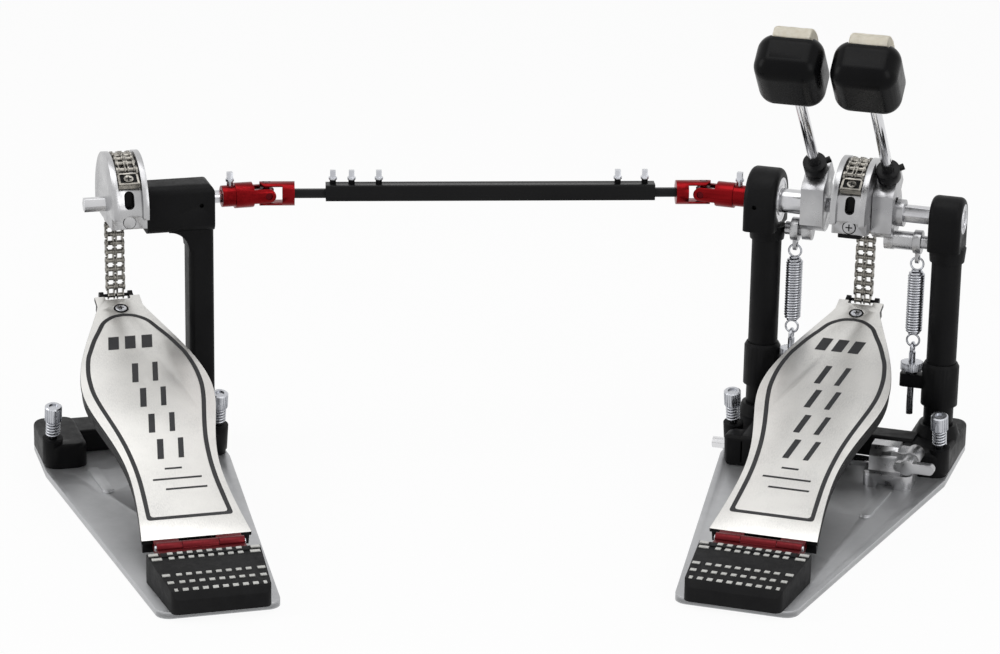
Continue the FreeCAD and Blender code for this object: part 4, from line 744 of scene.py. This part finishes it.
def flat_piece(name, outlines, thickness):
    """A flat piece from closed outlines in millimetres. An outline within another is a hole."""
    data = bpy.data.curves.new(name, "CURVE")
    data.dimensions = "2D"
    data.fill_mode = "BOTH"
    data.extrude = thickness / 2 * MM
    for outline in outlines:
        spline = data.splines.new("POLY")
        spline.points.add(len(outline) - 1)
        for point, (x, y) in zip(spline.points, outline):
            point.co = (x * MM, y * MM, 0, 1)
        spline.use_cyclic_u = True
    drawn = bpy.data.objects.new(name, data)
    bpy.context.scene.collection.objects.link(drawn)
    only(drawn)
    bpy.ops.object.convert(target="MESH")
    piece = named(name)
    bpy.ops.object.mode_set(mode="EDIT")
    bpy.ops.mesh.select_all(action="SELECT")
    bpy.ops.mesh.remove_doubles(threshold=0.00001)
    bpy.ops.mesh.normals_make_consistent(inside=False)
    leave()
    return smooth(piece, 30)


def slanted(x, width, low, high, lean=0.17):
    """A bar that leans to the right as it rises."""
    shift = (high - low) * lean
    return [(x, low), (x + width, low), (x + width + shift, high), (x + shift, high)]


# The stripe's outer edge on one side: from the middle, and from the board's heel end, in millimetres.
STRIPE_SIDE = [
    (28.3, 24), (27.2, 45), (26.6, 62), (26.9, 80), (28.4, 100), (30.9, 118), (34.2, 136), (36.8, 150),
    (38.6, 164), (38.8, 177), (37.8, 190), (35.0, 205), (31.6, 215), (27.8, 225), (24.6, 232),
    (21.6, 238), (18.8, 244), (16.4, 248), (12.4, 252), (7.0, 255.4), (0.0, 256.8)]
STRIPE_LOW = 20.5
STRIPE_WIDTH = 3.0


def stripe_outline(width):
    """The stripe's outer line, or its inner one, which is moved in by the stripe's width."""
    right = []
    for (x0, y0), (x, y), (x1, y1) in zip(STRIPE_SIDE, STRIPE_SIDE[1:], STRIPE_SIDE[2:]):
        along = Vector((x1 - x0, y1 - y0)).normalized()
        right.append((x - along.y * width, y + along.x * width))
    heel_x = STRIPE_SIDE[0][0] - width
    low = STRIPE_LOW + width
    line = [(heel_x - 2.0, low), (heel_x - 0.6, low + 0.6)]
    line += through([(heel_x, low + 2.2)] + right + [(0.0, STRIPE_SIDE[-1][1] - width)])
    return line + [(-x, y) for x, y in reversed(line[:-1])]


def footboard_inlay(pedal_name, pedal):
    """The dark stripe round the footboard, and its plain grip bars."""
    bars = []
    for low, high in ((174, 196), (145, 166.5), (115.2, 136.3), (85.3, 107.3)):
        bars += [slanted(-8.9, 4.3, low, high), slanted(5.2, 3.7, low, high)]
    bars += [slanted(x, 7.4, 214, 229) for x in (-18.0, -6.4, 5.2)]
    bars += [slanted(-6.5, 11.5, 73.4, 75.2),
             slanted(-16.5, 32.5, 62.2, 64.0),
             slanted(-10, 27.5, 51.2, 53.0)]
    outlines = [stripe_outline(0), stripe_outline(STRIPE_WIDTH)] + bars
    inlay = flat_piece(pedal_name + "_board_inlay", outlines, 0.2)
    moved(inlay, pedal @ BOARD @ at(0, 0, 0.02))
    return finish_piece(inlay, pedal_name + "_footboard", INK)


def heel_dashes(rows):
    """The outlines of dashes: in each row, eight small ones and a long one at each side, from near to far."""
    dashes = []
    for y, near, far in rows:
        for side in (-1, 1):
            inner, outer = side * near, side * far
            dashes.append([(inner, y - 1.5), (outer, y - 1.5), (outer, y + 1.5), (inner, y + 1.5)])
        for count in range(8):
            x = -22.3 + 6.37 * count
            low, high = y - 1.45, y + 1.45
            dashes.append([(x - 1.9, low), (x + 1.7, low), (x + 1.9, high), (x - 1.7, high)])
    return dashes


# Rows of dashes: the row's place along the heel block, and its side dashes from near to far.
LOWER_ROWS = ((-8.8, 28.5, 35.0), (-32.0, 28.0, 33.0), (-42.2, 27.6, 31.6), (-52.6, 27.2, 29.4))
EDGE_ROW = ((-3.2, 30.0, 36.0),)


def heel_marks(pedal_name, pedal):
    """Pale raised dashes on the heel block, and the rubber lip over the hinge's leaf with the last row."""
    lip = cube(pedal_name + "_heel_lip", (-28.5, -6.8, -0.3), (28.5, -1.4, 0.75))
    soften(lip, 0.2, 2)
    moved(lip, pedal @ HEEL_TOP)
    finish_piece(lip, pedal_name + "_frame", RUBBER)
    for name, rows, up in (("_heel_marks", LOWER_ROWS, 0.1), ("_heel_edge_marks", EDGE_ROW, 0.6)):
        marks = flat_piece(pedal_name + name, heel_dashes(rows), 0.9)
        moved(marks, pedal @ HEEL_TOP @ at(0, 0, up))
        soften(marks, 0.12, 2)
        finish_piece(marks, pedal_name + "_frame", SILVER_MARK)


for pedal_name, pedal in (("main", MAIN), ("slave", SLAVE)):
    footboard_inlay(pedal_name, pedal)
    heel_marks(pedal_name, pedal)


# ------------------------------------------------------------------ springs and spurs
def wire(name, points, thick, sides=3):
    """A round wire along the points, in millimetres."""
    data = bpy.data.curves.new(name, "CURVE")
    data.dimensions = "3D"
    data.bevel_depth = thick / 2 * MM
    data.bevel_resolution = sides
    data.use_fill_caps = True
    spline = data.splines.new("POLY")
    spline.points.add(len(points) - 1)
    for point, place in zip(spline.points, points):
        point.co = (place[0] * MM, place[1] * MM, place[2] * MM, 1)
    drawn = bpy.data.objects.new(name, data)
    bpy.context.scene.collection.objects.link(drawn)
    only(drawn)
    bpy.ops.object.convert(target="MESH")
    piece = named(name)
    return smooth(piece, 60)


def coil(radius, low, high, turns, taper=0.0, per_turn=18):
    """The points of a coil round Z. taper turns at each end draw in toward the middle."""
    points = []
    count = int(turns * per_turn)
    for step in range(count + 1):
        turn = step / per_turn
        near_end = min(turn, turns - turn)
        share = 1.0 if taper == 0 else min(1.0, 0.45 + 0.55 * near_end / taper)
        angle = 2 * math.pi * turn
        points.append((radius * share * math.cos(angle), radius * share * math.sin(angle),
                       low + (high - low) * step / count))
    return points


SPRING_X = 43.4
LOOP_RADIUS = 4.4


def return_spring(side_name, side):
    """A return spring: close turns with drawn-in ends and a round loop at each end."""
    x = side * SPRING_X
    body = wire(side_name + "_spring_turns", coil(5.05, 92.2, 139.4, 25, 1.8), 1.8)
    loops = []
    for name, z, start in (("low", 88.05, 90), ("top", 143.6, -90)):
        turns = [math.radians(start + 15 * step) for step in range(25)]
        ring = [(LOOP_RADIUS * math.cos(turn), 0.0, z + LOOP_RADIUS * math.sin(turn)) for turn in turns]
        loops.append(wire(side_name + "_spring_loop_" + name, ring, 1.5))
    spring = joined(side_name + "_spring_finished", [body] + loops)
    moved(spring, at(x, 0, 0))
    spring.data.materials.clear()
    spring.data.materials.append(ZINC)
    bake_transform(spring)
    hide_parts(side_name + "_spring")


return_spring("right", 1)
return_spring("left", -1)


KNURL_SIDES = 44
SPUR_SPRING_LOW = -22.5
SPUR_SPRING_TOP = -10.0


def is_groove(centre, normal):
    """Whether this is one of every other side of the knurled head."""
    side = math.atan2(centre.y, centre.x) / (2 * math.pi / KNURL_SIDES) - 0.5
    return abs(normal.z) < 0.5 and round(side) % 2 == 0


def is_top(centre, normal):
    """Whether this is the middle face of the head's top."""
    return normal.z > 0.5 and centre.xy.length < 1


def spur_details(pedal_name, place, side_name):
    """A spur's knurled head with its socket, and the small spring under it."""
    spur_body = pedal_name + "_" + side_name + "_spur"
    head = rod(spur_body + "_knurl", 5.9, -9.8, 0.2, (0, 0), "Z", KNURL_SIDES)
    inset_each(head, is_groove, 0.1, -0.5)
    for thickness, depth in ((0.9, 0.7), (1.9, 0.0), (0.2, -2.2)):
        inset(head, is_top, thickness, depth)
    smooth(head, 22)
    moved(head, place)
    finish_piece(head, spur_body, ZINC)
    spring = wire(spur_body + "_spring", coil(4.4, SPUR_SPRING_LOW, SPUR_SPRING_TOP, 5.5, 0.0, 16), 1.3, 2)
    moved(spring, place)
    spring.data.materials.clear()
    spring.data.materials.append(ZINC)
    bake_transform(spring)


for pedal_name, pedal, x in (("main", MAIN, 73.5), ("slave", SLAVE, 58.0)):
    for side_name, side in (("left", -1), ("right", 1)):
        spur_details(pedal_name, spur_frame(pedal, side * x), side_name)


# ------------------------------------------------------------------ screws, clasps and small blocks
def cross_shade(name, place, reach, body):
    """Painted shade for the cross recess in a screw's head: a dark raised cross that lies on it."""
    bars = [cube(name + "_a", (-reach, -0.45, -0.05), (reach, 0.45, 0.12)),
            cube(name + "_b", (-0.45, -reach, -0.05), (0.45, reach, 0.12))]
    mark = joined(name, bars)
    soften(mark, 0.1, 2)
    moved(mark, place)
    return finish_piece(mark, body, PAINTED_SHADE)


def shade_ring(name, place, radius, thick, body):
    """A thin dark ring of painted shade that lies round a screw's head."""
    deselect()
    bpy.ops.mesh.primitive_torus_add(
        major_radius=radius * MM, minor_radius=thick / 2 * MM, major_segments=40, minor_segments=8)
    ring = named(name)
    bpy.ops.transform.resize(value=(1, 1, 0.7))
    bpy.ops.object.transform_apply(location=True, rotation=True, scale=True)
    smooth(ring, 60)
    moved(ring, place)
    return finish_piece(ring, body, PAINTED_SHADE)


def toe_screw(pedal_name, place):
    """The domed screw at the toe of a footboard, with a painted shade cross and a dark ring of painted shade
    round it.
    """
    body = pedal_name + "_footboard"
    dome = rod(pedal_name + "_toe_screw_dome", 3.9, -0.9, 0.35, (0, 0), "Z", 40)
    inset(dome, lambda centre, normal: normal.z > 0.5, 1.1, 0.35)
    soften(dome, 0.15, 2)
    moved(dome, place)
    finish_piece(dome, body, ZINC)
    cross_shade(pedal_name + "_toe_screw_slot_shade", place @ at(0, 0, 0.66), 2.0, body)
    shade_ring(pedal_name + "_toe_screw_shade_ring", place @ at(0, 0, 0.1), 4.6, 1.2, body)


def clasp_details(pedal_name, place, body):
    """The chain clasp's raised rim, a dark sheet of painted shade as its floor, and the painted shade cross
    in its screw.
    """
    whole = [(-6.9, 3.6), (6.9, 3.6), (6.9, 13.6), (-6.9, 13.6)]
    floor = flat_piece(pedal_name + "_clasp_floor_shade", [whole], 0.2)
    moved(floor, place @ at(0, 0, -0.12))
    finish_piece(floor, body, PAINTED_SHADE)
    outer = [(-7.3, 3.3), (7.3, 3.3), (7.3, 13.9), (-7.3, 13.9)]
    inner = [(-5.6, 4.8), (5.6, 4.8), (5.6, 12.4), (-5.6, 12.4)]
    rim = flat_piece(pedal_name + "_clasp_rim", [outer, inner], 1.0)
    soften(rim, 0.3, 2)
    moved(rim, place @ at(0, 0, 0.3))
    finish_piece(rim, body, CHAIN_METAL)
    cross_shade(pedal_name + "_clasp_slot_shade", place @ at(0, 9.2, 1.2), 2.0, body)


def cam_details(pedal_name, pedal, body):
    """A dark block of painted shade in the cam's slot, and the painted shade ring and cross of the main cam's
    lower screw.
    """
    height = AXLE / MM
    plug = cube(pedal_name + "_cam_slot_shade", (-3.2, -24.0, height + 3.2), (3.2, -19.8, height + 14.8))
    soften(plug, 1.2, 3)
    moved(plug, pedal)
    finish_piece(plug, body, PAINTED_SHADE)
    if pedal_name == "slave":
        return
    front = pedal @ at(0, -27.5, height - 6.55) @ Matrix.Rotation(math.radians(90), 4, "X")
    cross_shade(pedal_name + "_cam_screw_slot_shade", front, 2.4, body)
    shade_ring(pedal_name + "_cam_screw_shade_ring", front @ at(0, 0, -0.35), 4.4, 0.9, body)


def clamp_rod_block():
    """The black stepped block that holds the clamp rod's left end."""
    block = cube("clamp_rod_block", (-70, -69, 5), (-58, -51, 24))
    inset(block, lambda centre, normal: normal.z > 0.5, 2.2, 2.4)
    inset(block, lambda centre, normal: normal.x < -0.5, 3.0, 2.2)
    soften(block, 0.9, 3)
    moved(block, MAIN)
    return finish_piece(block, "main_frame", BLACK_POWDER)


def cam_stop():
    """The small black block under the main cam."""
    block = cube("main_cam_stop", (-8, -26, 164.2), (8, -14, 167.6))
    soften(block, 0.6, 3)
    moved(block, MAIN)
    return finish_piece(block, "main_axle", BLACK_POWDER)


for pedal_name, pedal, axle_body in (("main", MAIN, "main_axle"), ("slave", SLAVE, "slave_axle")):
    toe_screw(pedal_name, pedal @ BOARD @ at(0, 263.4, 0))
    clasp_details(pedal_name, clasp_frame(pedal), axle_body)
    cam_details(pedal_name, pedal, axle_body)
clamp_rod_block()
cam_stop()


# ------------------------------------------------------------------ camera, light and floor
VIEW_PLACE = (0.5124, -2.3889, 0.8824)
VIEW_LENS = 131.46
VIEW_YAW, VIEW_PITCH, VIEW_ROLL = (math.radians(degrees) for degrees in (-17.9, 18.1, 1.0))


def camera():
    """The camera, turned by its yaw, looking down by its pitch and tipped by its roll."""
    data = bpy.data.cameras.new("camera")
    data.sensor_width = 36.0
    data.lens = VIEW_LENS
    seen = bpy.data.objects.new("camera", data)
    bpy.context.scene.collection.objects.link(seen)
    yaw, pitch, roll = VIEW_YAW, VIEW_PITCH, VIEW_ROLL
    forward = Vector((math.sin(yaw) * math.cos(pitch), math.cos(yaw) * math.cos(pitch), -math.sin(pitch)))
    right = forward.cross(Vector((0, 0, 1))).normalized()
    up = right.cross(forward)
    tilted = right * math.cos(roll) + up * math.sin(roll)
    top = up * math.cos(roll) - right * math.sin(roll)
    turn = Matrix((tilted, top, -forward)).transposed()
    seen.matrix_world = Matrix.Translation(VIEW_PLACE) @ turn.to_4x4()
    data.clip_end = 50
    bpy.context.scene.camera = seen


def lamp(name, place, aim, power, width, height):
    """An area lamp, width by height in metres, that faces aim."""
    data = bpy.data.lights.new(name, "AREA")
    data.energy = power
    data.shape = "RECTANGLE"
    data.size = width
    data.size_y = height
    light = bpy.data.objects.new(name, data)
    bpy.context.scene.collection.objects.link(light)
    light.location = place
    light.rotation_euler = (Vector(aim) - Vector(place)).to_track_quat("-Z", "Y").to_euler()


def seen_directly(tree, place):
    """1 on rays from the camera, on reflections and through glass, else 0."""
    path = add(tree, "ShaderNodeLightPath", place)
    total = add(tree, "ShaderNodeMath", (place[0] + 200, place[1]), operation="ADD", use_clamp=True)
    tree.links.new(path.outputs["Is Camera Ray"], total.inputs[0])
    tree.links.new(path.outputs["Is Glossy Ray"], total.inputs[1])
    both = add(tree, "ShaderNodeMath", (place[0] + 400, place[1]), operation="ADD", use_clamp=True)
    tree.links.new(total.outputs[0], both.inputs[0])
    tree.links.new(path.outputs["Is Transmission Ray"], both.inputs[1])
    return both.outputs[0]


FAINTEST_WORLD = 0.42       # the world's strength on other rays than those seen directly
FLOOR_GLOW = 0.93           # how much of the floor glows white on rays seen directly


def surroundings():
    """The white world and the pale floor, both white where they are seen and dimmer as light."""
    world = bpy.data.worlds.new("studio")
    bpy.context.scene.world = world
    world.use_nodes = True
    tree = world.node_tree
    back = tree.nodes["Background"]
    back.inputs["Color"].default_value = (1, 1, 1, 1)
    strength = range_of(tree, (-200, 0), seen_directly(tree, (-900, 0)), FAINTEST_WORLD, 1.0)
    tree.links.new(strength, back.inputs["Strength"])
    deselect()
    bpy.ops.mesh.primitive_plane_add(size=8, location=(-0.2, 0, -0.0002))
    floor = named("floor")
    bpy.ops.object.transform_apply(location=True, rotation=True, scale=True)
    paint = bpy.data.materials.new("floor")
    paint.use_nodes = True
    tree = paint.node_tree
    shader = tree.nodes["Principled BSDF"]
    shader.inputs["Base Color"].default_value = (0.86, 0.86, 0.86, 1)
    shader.inputs["Roughness"].default_value = 0.7
    glow = add(tree, "ShaderNodeEmission", (0, -300))
    glow.inputs["Color"].default_value = (1, 1, 1, 1)
    blend = add(tree, "ShaderNodeMixShader", (300, 0))
    amount = range_of(tree, (100, 250), seen_directly(tree, (-600, 250)), 0.0, FLOOR_GLOW)
    tree.links.new(amount, blend.inputs[0])
    tree.links.new(shader.outputs[0], blend.inputs[1])
    tree.links.new(glow.outputs[0], blend.inputs[2])
    tree.links.new(blend.outputs[0], tree.nodes["Material Output"].inputs["Surface"])
    floor.data.materials.append(paint)


camera()
lamp("overhead", (-0.2, -0.3, 1.9), (-0.2, -0.1, 0), 12, 1.6, 1.2)
lamp("left side", (-1.9, -0.9, 1.0), (-0.3, -0.1, 0.1), 10.5, 0.9, 1.4)
lamp("right side", (1.6, -1.0, 1.1), (-0.1, -0.1, 0.1), 9, 0.9, 1.4)
surroundings()
bpy.context.scene.view_settings.view_transform = "Standard"
